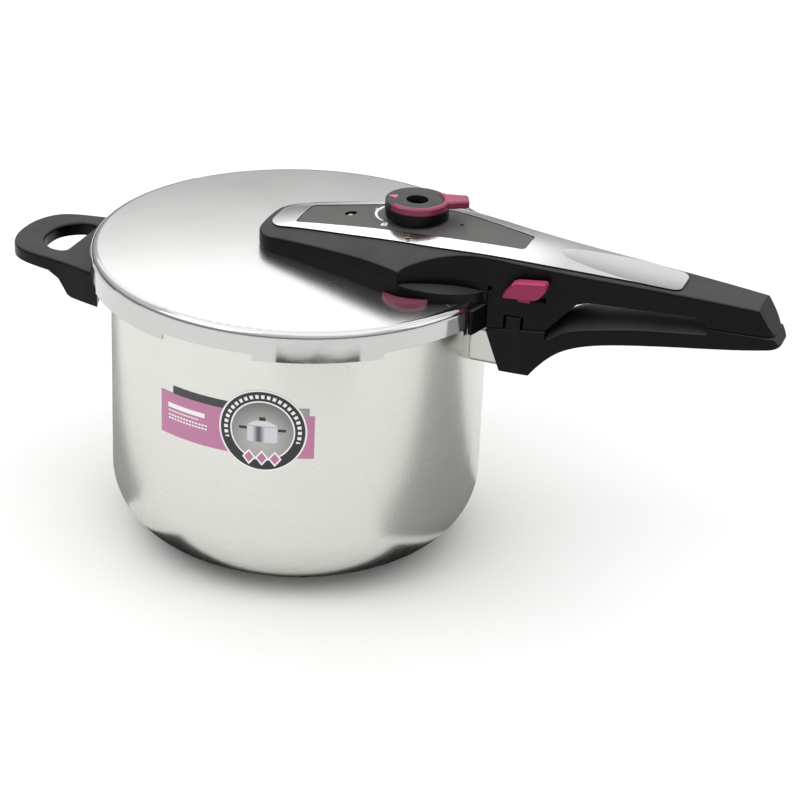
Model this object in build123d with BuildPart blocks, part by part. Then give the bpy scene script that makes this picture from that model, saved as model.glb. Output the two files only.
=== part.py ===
from build123d import *
import math
import os

# Stovetop pressure cooker, 22 cm inside, about 6 litres, in millimetres.
# Origin: on the pot's axis at the underside of the base. +X runs along the long handle, +Z is up.

os.makedirs("parts", exist_ok=True)

# ---- Pot -----------------------------------------------------------------------------------------
pot_inner_radius = 110.0
pot_wall = 1.0
pot_radius = pot_inner_radius + pot_wall
pot_corner_radius = 36.0  # outside radius between the wall and the floor
pot_rim_z = 171.0  # top of the pot's rim
base_thickness = 5.0
base_radius = pot_radius - 33.0
base_skin = 1.0  # steel cover under the heat disc

# ---- Bayonet closure -----------------------------------------------------------------------------
lug_count = 6
lug_span = 28.0  # degrees, on the pot and on the lid
lug_phase = -63.0  # direction of one closed pair of lugs
rim_flange_z = 164.6  # underside of the pot's flange
rim_flange_thickness = 2.4
rim_flange_width = 2.8  # plain stretch, beyond the wall
pot_lug_width = 8.8  # lug, beyond the wall
turn_clearance = 0.4  # between parts that slide over each other

# ---- Lid -----------------------------------------------------------------------------------------
lid_plate = 1.4
lid_side_room = 1.7  # between the pot's lugs and the inside of the skirt
lid_radius = pot_radius + pot_lug_width + lid_side_room + lid_plate
lid_crown_z = 184.8  # top of the dome at the axis
lid_edge_z = 179.6  # the dome's height at the edge, before rounding
lid_edge_fillet = 4.0
skirt_bottom_z = 162.2  # at the lugs
skirt_raised_z = 166.0  # between the lugs
raised_span = 26.0
raised_fillet = 2.2
lid_lug_thickness = 2.0
lid_lug_reach = 6.8  # inwards from the skirt
gasket_lip_radius = pot_inner_radius - 4.0
gasket_lip = 2.6

# ---- Long handle, lid half -----------------------------------------------------------------------
nose_x = -20.5
nose_half = 25.5
nose_fillet = 18.0
shoulder_x = lid_radius - 44.2
shoulder_half = 52.6
neck_x = lid_radius + 3.1
neck_half = 25.4
grip_length = 157.5
tip_x = neck_x + grip_length
tip_half = 11.4
tip_fillet = 7.0
roof_crown_radius = 120.0  # across the handle
head_wall = 3.4
roof_edge_fillet = 1.6  # where the crowned top meets the sides
seam_step = 0.5  # how far the lower shell stands back under the upper one
thumb_start_x = neck_x + 31.0  # thumb hollow in the top of the grip
thumb_end_x = tip_x - 21.5
thumb_depth = 2.0
thumb_across_radius = 83.0
parting_end_x = lid_radius + 2.5  # where the head's two shells stop and the lock housing starts
tip_top_x = tip_x - 11.5
gap_front_x = neck_x + 54.0  # finger gap between the two handles
gap_back_x = tip_x - 43.5
gap_roof_z = 187.2
handle_part_z = 182.2  # where the two handles meet again at the tip
handle_gap = 0.9

# ---- Trim and inlay on top of the handle -----------------------------------------------------------
trim_nose_x = -15.0
trim_tip_x = tip_x - 54.5
trim_height = 1.0
inlay_front_x = 1.5
inlay_back_x = neck_x + 12.0
inlay_height = 0.6
inlay_gap = 0.35
seat_gap = 0.05  # film of glue under the trim and the inlay

# ---- Regulator knob and valve ----------------------------------------------------------------------
knob_x = 70.0
knob_radius = 18.4
knob_base_z = 211.4
knob_ring_z = 218.0
knob_ring_top_z = 222.2
knob_cap_z = 221.2
knob_cap_radius = 14.9
knob_bore_radius = 6.2
knob_hub_radius = 12.0
knob_hub_z = 203.0
ring_open_from = 52.0  # the lever ring leaves this stretch to the cap
ring_open_to = 237.0
ring_edge_chamfer = 0.9
cap_edge_fillet = 0.6
lever_angle = 24.0
lever_reach = 29.5
valve_radius = 5.0
valve_bore_radius = 2.0
valve_chamber_radius = 3.6
valve_seat_z = 196.0
valve_top_z = 214.0
valve_flange_radius = 10.0
running_clearance = 0.05

# ---- Pressure indicator and safety plug ------------------------------------------------------------
indicator_x = 30.0
indicator_radius = 2.5
indicator_travel = 5.0
indicator_top_z = 203.6
plug_x = shoulder_x + 3.5
plug_y = 6.6 - shoulder_half
plug_radius = 13.6
plug_stem_radius = 6.0
plug_top_z = 183.4

# ---- Lock housing, button and latch ----------------------------------------------------------------
housing_front_radius = lid_radius + 2.9  # measured from the pot's axis
housing_back_x = neck_x + 47.7
housing_bottom_z = 162.6
housing_rise = 3.0  # of its underside, from the front to the finger gap
finger_room_x = neck_x + 31.0
button_travel = 8.0
button_front_x = neck_x + 7.0
button_length = 25.4
button_low_z = 185.0
button_depth = 6.4
stem_front_x = button_front_x + 8.0
stem_length = 7.0
stem_z = 182.2
stem_height = 2.8
slot_clearance = 0.3

# ---- Long handle, pot half -------------------------------------------------------------------------
root_top_z = 160.6
root_front_x = lid_radius - 0.1
root_bottom_z = 136.8
root_bottom_x = root_front_x + 9.4
lower_tip_x = tip_x + 3.5
lower_crown_radius = 60.0  # across the handle, in the finger gap
lower_edge_fillet = 1.6
key_front_x = button_front_x + 1.4
key_length = 8.4
key_top_z = 170.4
key_inset_y = -17.6
key_gap = 1.5

# ---- Brackets and guards on the pot ----------------------------------------------------------------
bracket_plate = 1.5
bracket_span = 18.0  # degrees of wall that the plate covers
arm_half = 8.0
arm_low_z = 141.4
arm_high_z = 152.4
arm_end_x = pot_radius + 35.0
guard_half = 15.5
helper_guard_half = 26.0
guard_sheet = 0.8
guard_low_z = 134.6
guard_high_z = 157.4
screw_radius = 2.0
screw_head_radius = 3.9
screw_head_height = 2.6

# ---- Helper handle ---------------------------------------------------------------------------------
helper_reach = 72.0  # beyond the wall
helper_tip_x = -pot_radius - helper_reach
helper_top_z = 157.5
helper_loop_thickness = 7.5
helper_root_z = 136.0
helper_root_radius = pot_radius + 8.6
helper_root_half = 42.0
helper_tip_half = 21.0
helper_hole_tip_x = helper_tip_x + 18.0
helper_hole_root_x = -pot_radius - 32.5
helper_hole_half = 22.0
helper_edge_fillet = 2.0
helper_inner_x = 7.0 - pot_radius  # inside the wall, so that the root's face is the whole curve
helper_screw_x = -pot_radius - 15.0

# ---- Front label -----------------------------------------------------------------------------------
label_film = 0.2
label_band_angle = -87.3
label_band_span = 48.8
label_band_low_z = 97.5
label_band_high_z = 124.0
label_badge_radius = 25.2
label_badge_angle = -78.0
label_badge_z = 113.5
label_bar_angle = -97.5  # dark bar above the band
label_bar_span = 19.0
label_bar_top_z = 128.8
label_tab_angle = -67.5  # short tab above the band's other end
label_tab_span = 6.0

# ---- Values worked out from the ones above -----------------------------------------------------------
lug_pitch = 360.0 / lug_count
lid_inner_radius = lid_radius - lid_plate
lid_lug_radius = lid_inner_radius - lid_lug_reach
closed_lugs = [lug_phase + i * lug_pitch for i in range(lug_count)]
raised_stretches = [angle + lug_pitch / 2 for angle in closed_lugs]
block_span = 36.4  # degrees of skirt that the handle's root block stands in for
block_inner_radius = pot_radius + pot_lug_width + 1.3
block_outer_radius = housing_front_radius - turn_clearance


def save(part, name):
    """Label one finished piece and write it to its own STEP file."""
    part.label = name
    export_step(part, f"parts/{name}.step")


def sector(inner, outer, middle, span):
    """A stretch of a flat ring, span degrees wide, centred on the direction middle."""
    with BuildSketch() as region:
        with BuildLine():
            start = middle - span / 2
            inside = CenterArc((0, 0), inner, start, span)
            outside = CenterArc((0, 0), outer, start, span)
            Line(inside @ 0, outside @ 0)
            Line(inside @ 1, outside @ 1)
        make_face()
    return region.sketch


def disc(radius, low_z, high_z, x=0.0, y=0.0):
    """A round solid standing between two heights."""
    with BuildPart() as block:
        with BuildSketch(Plane.XY.offset(low_z)):
            with Locations((x, y)):
                Circle(radius)
        extrude(amount=high_z - low_z)
    return block.part


def prism(region, low_z, high_z):
    """A flat region raised into a solid between two heights."""
    with BuildPart() as block:
        with BuildSketch(Plane.XY.offset(low_z)):
            add(region)
        extrude(amount=high_z - low_z)
    return block.part


def box(low, high):
    """A square-cornered solid between two corner points."""
    with BuildPart() as block:
        with Locations(low):
            Box(*(b - a for a, b in zip(low, high)), align=(Align.MIN, Align.MIN, Align.MIN))
    return block.part


def lid_form(inset):
    """The solid under the lid's skin, drawn in by inset: 0 gives the outside, lid_plate the inside."""
    with BuildPart() as form:
        with BuildSketch(Plane.XZ) as half:
            with BuildLine():
                middle = lid_radius / 2
                sag = (lid_crown_z - lid_edge_z) * 0.25
                dome = ThreePointArc(
                    (0, lid_crown_z - inset),
                    (middle, lid_crown_z - inset - sag),
                    (lid_radius - inset, lid_edge_z - inset),
                )
                Polyline(dome @ 1, (lid_radius - inset, skirt_bottom_z), (0, skirt_bottom_z), dome @ 0)
            make_face()
            edge_corner = half.vertices().sort_by(Axis.X)[-2:].sort_by(Axis.Y)[-1]
            fillet(edge_corner, lid_edge_fillet - inset)
        revolve(axis=Axis.Z)
    return form.part


def pot_form(inset):
    """The pot's outside as a solid, drawn in by inset: 0 gives the outside, pot_wall the inside."""
    with BuildPart() as form:
        with BuildSketch(Plane.XZ) as half:
            with BuildLine():
                Polyline(
                    (0, base_thickness + inset),
                    (pot_radius - inset, base_thickness + inset),
                    (pot_radius - inset, pot_rim_z),
                    (0, pot_rim_z),
                    close=True,
                )
            make_face()
            corner = half.vertices().sort_by(Axis.X)[-2:].sort_by(Axis.Y)[0]
            fillet(corner, pot_corner_radius - inset)
        revolve(axis=Axis.Z)
    return form.part


def thumb_form():
    """The long shallow lens that hollows the top of the grip for the thumb."""
    start_z, end_z = 204.9, 198.4  # the ridge's height at the two ends
    length = math.hypot(thumb_end_x - thumb_start_x, end_z - start_z)
    along = (thumb_end_x - thumb_start_x, 0, end_z - start_z)
    across = Plane(origin=(thumb_start_x, 0, start_z), x_dir=along, z_dir=(0, -1, 0))
    with BuildPart() as lens:
        with BuildSketch(across):
            with BuildLine():
                top = thumb_across_radius
                Polyline((length, 0), (length, top), (0, top), (0, 0))
                ThreePointArc((0, 0), (length * 0.4, -thumb_depth), (length, 0))
            make_face()
        revolve(axis=Axis((across * Location((0, top))).position, across.x_dir))
    return lens.part


def roof_form(raised):
    """The solid under the lid handle's crowned top, lifted by raised."""
    low_z = 150.0
    with BuildPart() as form:
        with BuildLine(Plane.XZ) as ridge:
            Spline(
                (-40, 189.5),
                (-6, 198.2),
                (30, 204.6),
                (72, 210.0),
                (100, 209.6),
                (inlay_back_x, 206.4),
                (trim_tip_x, 200.8),
                (tip_x + 16.5, 195.2),
            )
        with BuildSketch(Plane(origin=ridge.line @ 0, x_dir=(0, 1, 0), z_dir=ridge.line % 0)):
            with BuildLine():
                half_width = 62.0
                drop = roof_crown_radius - math.sqrt(roof_crown_radius**2 - half_width**2)
                depth = 40.0
                crown = ThreePointArc((-half_width, -drop), (0, 0), (half_width, -drop))
                Polyline(crown @ 1, (half_width, -depth), (-half_width, -depth), crown @ 0)
            make_face()
        sweep(path=ridge.line)
        add(thumb_form(), mode=Mode.SUBTRACT)
    lifted = form.part.moved(Location((0, 0, raised)))
    return lifted


def side_slab(points, half_width=70.0):
    """A slab with the outline points in side view, reaching half_width to each side."""
    with BuildPart() as slab:
        with BuildSketch(Plane.XZ):
            with BuildLine():
                Polyline(*points, close=True)
            make_face()
        extrude(amount=half_width, both=True)
    return slab.part


def parting_slab(low):
    """Everything in the head below (low) or above the line where its two shells meet."""
    edge_z = 120.0 if low else 240.0
    with BuildPart() as slab:
        with BuildSketch(Plane.XZ):
            with BuildLine():
                seam = Spline((-40, 184.6), (0, 187.6), (40, 190.0), (80, 190.8), (parting_end_x, 188.0))
                Polyline(seam @ 1, (parting_end_x, edge_z), (-40, edge_z), seam @ 0)
            make_face()
        extrude(amount=70, both=True)
    return slab.part


def head_outline(inset=0.0):
    """The lid handle seen from above, drawn in by inset."""
    with BuildSketch() as outline:
        with BuildLine() as half:
            nose = Line((nose_x + inset, 0), (nose_x + inset, nose_half - 0.8 * inset))
            flank = Line(nose @ 1, (shoulder_x - 0.8 * inset, shoulder_half - 1.2 * inset))
            neck = Spline(
                flank @ 1,
                (shoulder_x + 6.9 - 0.7 * inset, shoulder_half - 8.0 - 0.8 * inset),
                (shoulder_x + 18.8 - 0.5 * inset, shoulder_half - 17.0 - 0.9 * inset),
                (neck_x, neck_half - inset),
                tangents=[(0.45, -1), (1, -0.12)],
            )
            Polyline(neck @ 1, (tip_x - inset, tip_half - inset), (tip_x - inset, 0))
            mirror(about=Plane.XZ)
        make_face()
        ends = outline.vertices()
        fillet(ends.filter_by(lambda v: abs(v.X - nose_x - inset) < 0.1), nose_fillet - inset)
        ends = outline.vertices()
        fillet(ends.filter_by(lambda v: abs(v.X - tip_x + inset) < 0.1), tip_fillet - inset)
    return outline.sketch


def base_outline(inset=0.0):
    """The lower shell's own outline: it keeps its width past the shoulder and follows the lid's edge."""
    with BuildSketch() as outline:
        with BuildLine():
            nose = Line((nose_x + inset, 0), (nose_x + inset, nose_half - 0.8 * inset))
            flank = Line(nose @ 1, (shoulder_x - 0.8 * inset, shoulder_half - 1.2 * inset))
            lid_edge = Spline(
                flank @ 1,
                (lid_radius - 29.9 - 0.5 * inset, 50.4 - inset),
                (lid_radius - 16.9 - 0.7 * inset, 43.8 - inset),
                (lid_radius - 6.5 - inset, 34.2 - inset),
                (lid_radius - 0.5 - inset, 21.0),
                tangents=[(1, 0.12), (0.25, -1)],
            )
            Polyline(lid_edge @ 1, (parting_end_x - inset, 0))
            mirror(about=Plane.XZ)
        make_face()
        ends = outline.vertices()
        fillet(ends.filter_by(lambda v: abs(v.X - nose_x - inset) < 0.1), nose_fillet - inset)
    return outline.sketch


def trim_outline():
    """The bright trim seen from above."""
    with BuildSketch() as outline:
        with BuildLine():
            nose = Line((trim_nose_x, 0), (trim_nose_x, 17.5))
            flank = Spline(
                nose @ 1,
                (15, 22.4),
                (44, 27.6),
                (70, 30.2),
                (92, 29.6),
                (neck_x - 9, 25.4),
                (neck_x + 24, 20.6),
                (neck_x + 59, 17.0),
                (trim_tip_x, 12.6),
            )
            Line(flank @ 1, (trim_tip_x, 0))
            mirror(about=Plane.XZ)
        make_face()
        fillet(outline.vertices().filter_by(lambda v: abs(v.X - trim_nose_x) < 0.1), 12)
        fillet(outline.vertices().filter_by(lambda v: abs(v.X - trim_tip_x) < 0.1), 6)
    return outline.sketch


def inlay_outline(grown=0.0):
    """The dark inlay seen from above, widened by grown."""
    with BuildSketch() as outline:
        with BuildLine():
            front_x, back_x = inlay_front_x - grown, inlay_back_x + grown
            halves = [(front_x, 13.6), (24, 16.2), (52, 19.4), (78, 20.6), (98, 18.2), (back_x, 9.8)]
            front = Line((front_x, 0), (front_x, halves[0][1] + grown))
            flank = Spline(*[(x, half + grown) for x, half in halves])
            Line(flank @ 1, (back_x, 0))
            mirror(about=Plane.XZ)
        make_face()
        fillet(outline.vertices().filter_by(lambda v: abs(v.X - front_x) < 0.1), 3.0)
        fillet(outline.vertices().filter_by(lambda v: abs(v.X - back_x) < 0.1), 3.0)
    return outline.sketch


lid_outside = lid_form(0)
lid_inside = lid_form(lid_plate)
pot_outside = pot_form(0)
roof = roof_form(0)

# ================================= Pot ============================================================

with BuildPart() as pot_shell:
    add(pot_outside)
    add(pot_form(pot_wall), mode=Mode.SUBTRACT)
    flange_inner = pot_inner_radius + pot_wall / 2
    with BuildSketch(Plane.XY.offset(rim_flange_z)):
        Circle(pot_radius + rim_flange_width)
        for angle in closed_lugs:
            add(sector(flange_inner, pot_radius + pot_lug_width, angle, lug_span))
        Circle(flange_inner, mode=Mode.SUBTRACT)
    extrude(amount=rim_flange_thickness)
save(pot_shell.part, "pot_shell")

with BuildPart() as base_cover:
    add(disc(base_radius, 0, base_thickness))
    add(disc(base_radius - base_skin, base_skin, base_thickness), mode=Mode.SUBTRACT)
    fillet(base_cover.edges().group_by(Axis.Z)[0], base_skin * 0.8)
save(base_cover.part, "base_cover")

with BuildPart() as base_heat_disc:
    add(disc(base_radius - base_skin, base_skin, base_thickness))
save(base_heat_disc.part, "base_heat_disc")

# ---- Brackets spot-welded to the wall, and the sheet guards round them ------------------------------


def bracket(direction, reach, half, low_z, high_z, plate_low_z, plate_high_z):
    """A curved plate on the wall with an arm standing out to reach."""
    with BuildPart() as piece:
        middle = math.degrees(math.atan2(0, direction))
        plate = sector(pot_radius, pot_radius + bracket_plate, middle, bracket_span)
        add(prism(plate, plate_low_z, plate_high_z))
        near, far = sorted((direction * pot_inner_radius, direction * reach))
        add(box((near, -half, low_z), (far, half, high_z)))
        add(disc(pot_radius, plate_low_z - 5, plate_high_z + 5), mode=Mode.SUBTRACT)
    return piece.part


with BuildPart() as long_handle_bracket:
    add(bracket(1, arm_end_x, arm_half, arm_low_z, arm_high_z, guard_low_z + 2, guard_high_z - 2))
    screw_x = arm_end_x - 5
    add(disc(screw_radius, arm_low_z - 1, arm_high_z + 1, screw_x), mode=Mode.SUBTRACT)
save(long_handle_bracket.part, "long_handle_bracket")

root_slope = (root_bottom_x - root_front_x) / (root_top_z - root_bottom_z)


def root_front(z):
    """Where the sloping front face of the lower handle stands at a height."""
    return root_front_x + (root_top_z - z) * root_slope


def guard_block(half, low_z, high_z, inset):
    """A round-cornered bar along X that a guard is bent round, drawn in by inset."""
    corner = 3.0
    with BuildPart() as bar:
        with BuildSketch(Plane.YZ.offset(-200)):
            with Locations((0, (low_z + high_z) / 2)):
                height = high_z - low_z - 2 * inset
                RectangleRounded(2 * (half - inset), height, corner - inset)
        extrude(amount=400)
    return bar.part


root_wedge = [(0, 100), (root_front(100), 100), (root_front(180), 180), (0, 180)]

with BuildPart() as long_handle_guard:
    add(guard_block(guard_half, guard_low_z, guard_high_z, 0))
    add(guard_block(guard_half, guard_low_z, guard_high_z, guard_sheet), mode=Mode.SUBTRACT)
    add(side_slab(root_wedge), mode=Mode.INTERSECT)
    add(disc(pot_radius + bracket_plate, 130, 165), mode=Mode.SUBTRACT)
save(long_handle_guard.part, "long_handle_guard")

# ---- Lower long handle -------------------------------------------------------------------------------

lower_top_line = [
    (root_front_x, root_top_z),
    (root_front_x + 4.7, housing_bottom_z - handle_gap + 0.2),
    (finger_room_x, housing_bottom_z + housing_rise - handle_gap),
    (neck_x + 49.0, 176.5),
    (gap_back_x + 7, handle_part_z - handle_gap),
    (tip_x, handle_part_z - handle_gap),
    (lower_tip_x, 176.4),
    (lower_tip_x - 2, 175.6),
]
lower_front_line = [(root_bottom_x + 17.2, root_bottom_z), (root_bottom_x, root_bottom_z), (root_front_x, root_top_z)]


def gap_ridge_form():
    """The solid under the crowned top of the lower handle, inside the finger gap."""
    with BuildPart() as form:
        with BuildLine(Plane.XZ) as ridge:
            Spline(
                (neck_x + 24, 160.5),
                (neck_x + 32, 165.2),
                (neck_x + 39, 169.6),
                (neck_x + 56, 173.6),
                (neck_x + 80, 176.8),
                (gap_back_x + 12, 180.8),
            )
        with BuildSketch(Plane(origin=ridge.line @ 0, x_dir=(0, 1, 0), z_dir=ridge.line % 0)):
            with BuildLine():
                half_width = 30.0
                drop = lower_crown_radius - math.sqrt(lower_crown_radius**2 - half_width**2)
                depth = 60.0
                crown = ThreePointArc((-half_width, -drop), (0, 0), (half_width, -drop))
                Polyline(crown @ 1, (half_width, -depth), (-half_width, -depth), crown @ 0)
            make_face()
        sweep(path=ridge.line)
    return form.part


def lower_outline():
    """The pot half of the long handle seen from above."""
    with BuildSketch() as outline:
        with BuildLine():
            front = Line((root_front_x - 1, 0), (root_front_x - 1, 24.6))
            flank = Spline(
                front @ 1,
                (neck_x + 24, 24.0),
                (gap_front_x, 20.4),
                (tip_x - 53.5, 16.0),
                (lower_tip_x, tip_half + 0.6),
            )
            Line(flank @ 1, (lower_tip_x, 0))
            mirror(about=Plane.XZ)
        make_face()
        fillet(outline.vertices().filter_by(lambda v: abs(v.X - lower_tip_x) < 0.1), tip_fillet)
    return outline.sketch


with BuildPart() as finger_room:
    add(box((finger_room_x, -40, 155), (gap_back_x + 7, 40, 200)))
    add(gap_ridge_form(), mode=Mode.SUBTRACT)

with BuildPart() as lower_long_handle:
    with BuildSketch(Plane.XZ) as lower_side:
        with BuildLine():
            Polyline(*lower_top_line)
            Spline(
                lower_top_line[-1],
                (neck_x + 0.673 * grip_length, 168.0),
                (neck_x + 0.4825 * grip_length, 164.0),
                (neck_x + 0.3365 * grip_length, 159.4),
                (neck_x + 39.5, 153.6),
                (neck_x + 31.5, 146.8),
                lower_front_line[0],
            )
            Polyline(*lower_front_line)
        make_face()
    extrude(amount=40, both=True)
    add(prism(lower_outline(), 120, 200), mode=Mode.INTERSECT)
    add(finger_room.part, mode=Mode.SUBTRACT)
    gap_edges = lower_long_handle.edges().filter_by(lambda e: e.length > 60 and e.center().Z > 170)
    fillet(gap_edges, lower_edge_fillet)
    arm_room = box((pot_radius, -arm_half, arm_low_z), (arm_end_x, arm_half, arm_high_z))
    add(arm_room, mode=Mode.SUBTRACT)
    add(disc(screw_radius, root_bottom_z - 1, arm_low_z, screw_x), mode=Mode.SUBTRACT)
    head_seat_z = root_bottom_z + 2.0
    add(disc(screw_head_radius + 0.2, 130, head_seat_z, screw_x), mode=Mode.SUBTRACT)
    key_low = (key_front_x, -24.2, root_top_z - 2)
    key_high = (key_front_x + key_length, key_inset_y, key_top_z)
    add(box(key_low, key_high))
save(lower_long_handle.part, "lower_long_handle")


def screw(x, low_z, high_z, head_low, y=0.0):
    """A screw along Z between two heights, with its head at the low or the high end."""
    with BuildPart() as piece:
        add(disc(screw_radius, low_z, high_z, x, y))
        head_z = low_z if head_low else high_z - screw_head_height
        add(disc(screw_head_radius, head_z, head_z + screw_head_height, x, y))
        slot_z = head_z - 0.1 if head_low else high_z - 1.0
        slot = box((x - 3, y - 0.5, slot_z), (x + 3, y + 0.5, slot_z + 1.1))
        add(slot, mode=Mode.SUBTRACT)
    return piece.part


with BuildPart() as long_handle_screw:
    add(screw(screw_x, head_seat_z - screw_head_height, arm_high_z - 0.5, True))
save(long_handle_screw.part, "long_handle_screw")

# ---- Helper handle -----------------------------------------------------------------------------------

helper_arm_end = helper_screw_x - 6
helper_arm_low = 144.0
helper_arm_high = 151.0

with BuildPart() as helper_bracket:
    add(bracket(-1, -helper_arm_end, 10, helper_arm_low, helper_arm_high, 139, 156))
    add(disc(screw_radius, 140, 155, helper_screw_x), mode=Mode.SUBTRACT)
save(helper_bracket.part, "helper_bracket")

with BuildPart() as helper_guard:
    add(guard_block(helper_guard_half, 138.5, 156, 0))
    add(guard_block(helper_guard_half, 138.5, 156, guard_sheet), mode=Mode.SUBTRACT)
    add(box((-200, -60, 130), (-60, 60, 165)), mode=Mode.INTERSECT)
    add(disc(helper_root_radius, 130, 165), mode=Mode.INTERSECT)
    add(disc(pot_radius + bracket_plate, 130, 165), mode=Mode.SUBTRACT)
save(helper_guard.part, "helper_guard")


def helper_outline():
    """The helper handle's loop seen from above, without its hole."""
    with BuildSketch() as outline:
        with BuildLine():
            flank = Spline(
                (helper_tip_x, 0),
                (helper_tip_x + 2.6, helper_tip_half - 5),
                (helper_tip_x + 10, 27.5),
                (helper_tip_x + 25, 33.6),
                (helper_tip_x + 45, 37.4),
                (helper_tip_x + 61, helper_root_half),
                (helper_inner_x, helper_root_half + 5),
                tangents=[(0, 1), (1, 0.3)],
            )
            Line(flank @ 1, (helper_inner_x, 0))
            mirror(about=Plane.XZ)
        make_face()
    return outline.sketch


def helper_hole():
    """The finger hole in the loop seen from above: straight on the pot's side and bowed on the other."""
    with BuildSketch() as outline:
        with BuildLine():
            bow = Spline(
                (helper_hole_tip_x, 0),
                (helper_hole_tip_x + 3.2, helper_hole_half * 0.6),
                (helper_hole_tip_x + 12.0, helper_hole_half * 0.96),
                (helper_hole_root_x, helper_hole_half),
                tangents=[(0, 1), (1, 0)],
            )
            Line(bow @ 1, (helper_hole_root_x, 0))
            mirror(about=Plane.XZ)
        make_face()
        fillet(outline.vertices().filter_by(lambda v: abs(v.Y) > 10), 4.0)
    return outline.sketch


with BuildPart() as helper_handle:
    grip_low = helper_top_z - helper_loop_thickness
    helper_profile = [
        (helper_tip_x, helper_top_z),
        (helper_tip_x, grip_low + 1.5),
        (helper_tip_x + 8, grip_low),
        (helper_tip_x + 35, grip_low - 1.0),
        (helper_tip_x + 42.5, 145.4),
        (helper_tip_x + 49, helper_root_z + 1),
        (helper_tip_x + 52, helper_root_z),
        (helper_inner_x, helper_root_z),
        (helper_inner_x, helper_top_z),
    ]
    add(side_slab(helper_profile, 60))
    add(prism(helper_outline(), 120, 170), mode=Mode.INTERSECT)
    add(disc(helper_root_radius, 120, 170), mode=Mode.SUBTRACT)
    add(prism(helper_hole(), 120, 170), mode=Mode.SUBTRACT)
    loop_top = helper_handle.faces().sort_by(Axis.Z)[-1]
    fillet(loop_top.edges(), helper_edge_fillet)
    helper_arm_room = box((helper_arm_end, -10, helper_arm_low), (-pot_radius, 10, helper_arm_high))
    add(helper_arm_room, mode=Mode.SUBTRACT)
    add(disc(screw_radius, 130, helper_arm_low, helper_screw_x), mode=Mode.SUBTRACT)
    helper_seat_z = helper_root_z + 3.6
    add(disc(screw_head_radius + 0.2, 130, helper_seat_z, helper_screw_x), mode=Mode.SUBTRACT)
save(helper_handle.part, "helper_handle")

with BuildPart() as helper_screw:
    add(screw(helper_screw_x, helper_seat_z - screw_head_height, helper_arm_high - 0.5, True))
save(helper_screw.part, "helper_screw")

# ---- Label film on the front of the wall ---------------------------------------------------------------

badge_turn = math.radians(label_badge_angle)
badge_plane = Plane(origin=(0, 0, label_badge_z), z_dir=(math.cos(badge_turn), math.sin(badge_turn), 0))
film_outer = pot_radius + label_film

with BuildPart() as label_badge:
    with BuildSketch(badge_plane):
        Circle(label_badge_radius)
    extrude(amount=film_outer + 10)
    add(prism(sector(pot_radius, film_outer, label_badge_angle, 40), 80, 150), mode=Mode.INTERSECT)

with BuildPart() as front_label:
    band = sector(pot_radius, film_outer, label_band_angle, label_band_span)
    add(prism(band, label_band_low_z, label_band_high_z))
    bar = sector(pot_radius, film_outer, label_bar_angle, label_bar_span)
    add(prism(bar, label_band_high_z, label_bar_top_z))
    tab = sector(pot_radius, film_outer, label_tab_angle, label_tab_span)
    add(prism(tab, label_band_high_z, label_bar_top_z))
    add(label_badge.part)
save(front_label.part, "front_label")

# ================================= Lid ============================================================

valve_hole_radius = valve_radius + 0.3
bush_radius = 5.0

with BuildPart() as lid_shell:
    add(lid_outside)
    add(lid_inside, mode=Mode.SUBTRACT)
    for angle in raised_stretches:
        cut = prism(sector(lid_inner_radius - 4, lid_radius + 4, angle, raised_span), 158, skirt_raised_z)
        upper_edges = cut.edges().group_by(Axis.Z)[-1]
        radial_edges = upper_edges.filter_by(GeomType.LINE)
        add(cut.fillet(raised_fillet, radial_edges), mode=Mode.SUBTRACT)
    root_notch = sector(block_inner_radius - 0.3, lid_radius + 4, 0, block_span + 0.4)
    add(prism(root_notch, 158, 177), mode=Mode.SUBTRACT)
    for angle in closed_lugs:
        if abs((angle + 180) % 360 - 180) > lug_pitch / 2:
            lug = sector(lid_lug_radius, lid_inner_radius + lid_plate / 2, angle, lug_span)
            add(prism(lug, skirt_bottom_z, skirt_bottom_z + lid_lug_thickness))
    add(disc(valve_hole_radius, 150, 190, knob_x), mode=Mode.SUBTRACT)
    add(disc(bush_radius, 150, 190, indicator_x), mode=Mode.SUBTRACT)
    add(disc(plug_stem_radius, 150, 190, plug_x, plug_y), mode=Mode.SUBTRACT)
save(lid_shell.part, "lid_shell")

with BuildPart() as lid_gasket:
    lip_low = pot_rim_z + turn_clearance
    bead_outer = block_inner_radius - 0.9
    with BuildSketch(Plane.XY.offset(lip_low)):
        Circle(bead_outer)
        Circle(gasket_lip_radius, mode=Mode.SUBTRACT)
    extrude(amount=gasket_lip)
    with BuildSketch(Plane.XY.offset(lip_low)):
        Circle(bead_outer)
        Circle(bead_outer - 4.5, mode=Mode.SUBTRACT)
    extrude(amount=8)
    add(lid_form(lid_plate + 0.1), mode=Mode.INTERSECT)
save(lid_gasket.part, "lid_gasket")

# ---- Shells of the lid handle ----------------------------------------------------------------------------

head_front_box = box((-60, -70, 150), (lid_radius + 0.4, 70, 240))
knob_well = disc(knob_hub_radius + 0.6, 195, 230, knob_x)
indicator_well = disc(indicator_radius + 1.0, 180, 230, indicator_x)
plug_room = disc(plug_radius + turn_clearance, 170, plug_top_z + turn_clearance, plug_x, plug_y)
boss_places = [(9.0, 0.0), (lid_radius - 15.9, 0.0)]
boss_radius = 5.0
cavity_roof_z = 196.0
cavity_front_x = 6.5  # the top is too low for a hollow in front of this, so the front boss joins the wall
head_shelf_z = cavity_roof_z + 0.5

with BuildPart() as base_hollow:
    add(prism(head_outline(head_wall + seam_step), 165, 205))
    add(box((-60, -70, 150), (lid_radius - 4.9, 70, 240)), mode=Mode.INTERSECT)

# Past the shoulder the lower shell is wider than the upper one, and its top slopes down to the lid's edge.
ledge_profile = [(-60, 150), (-60, 190.4), (shoulder_x, 190.4), (parting_end_x, 183.4), (parting_end_x, 150)]

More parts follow.
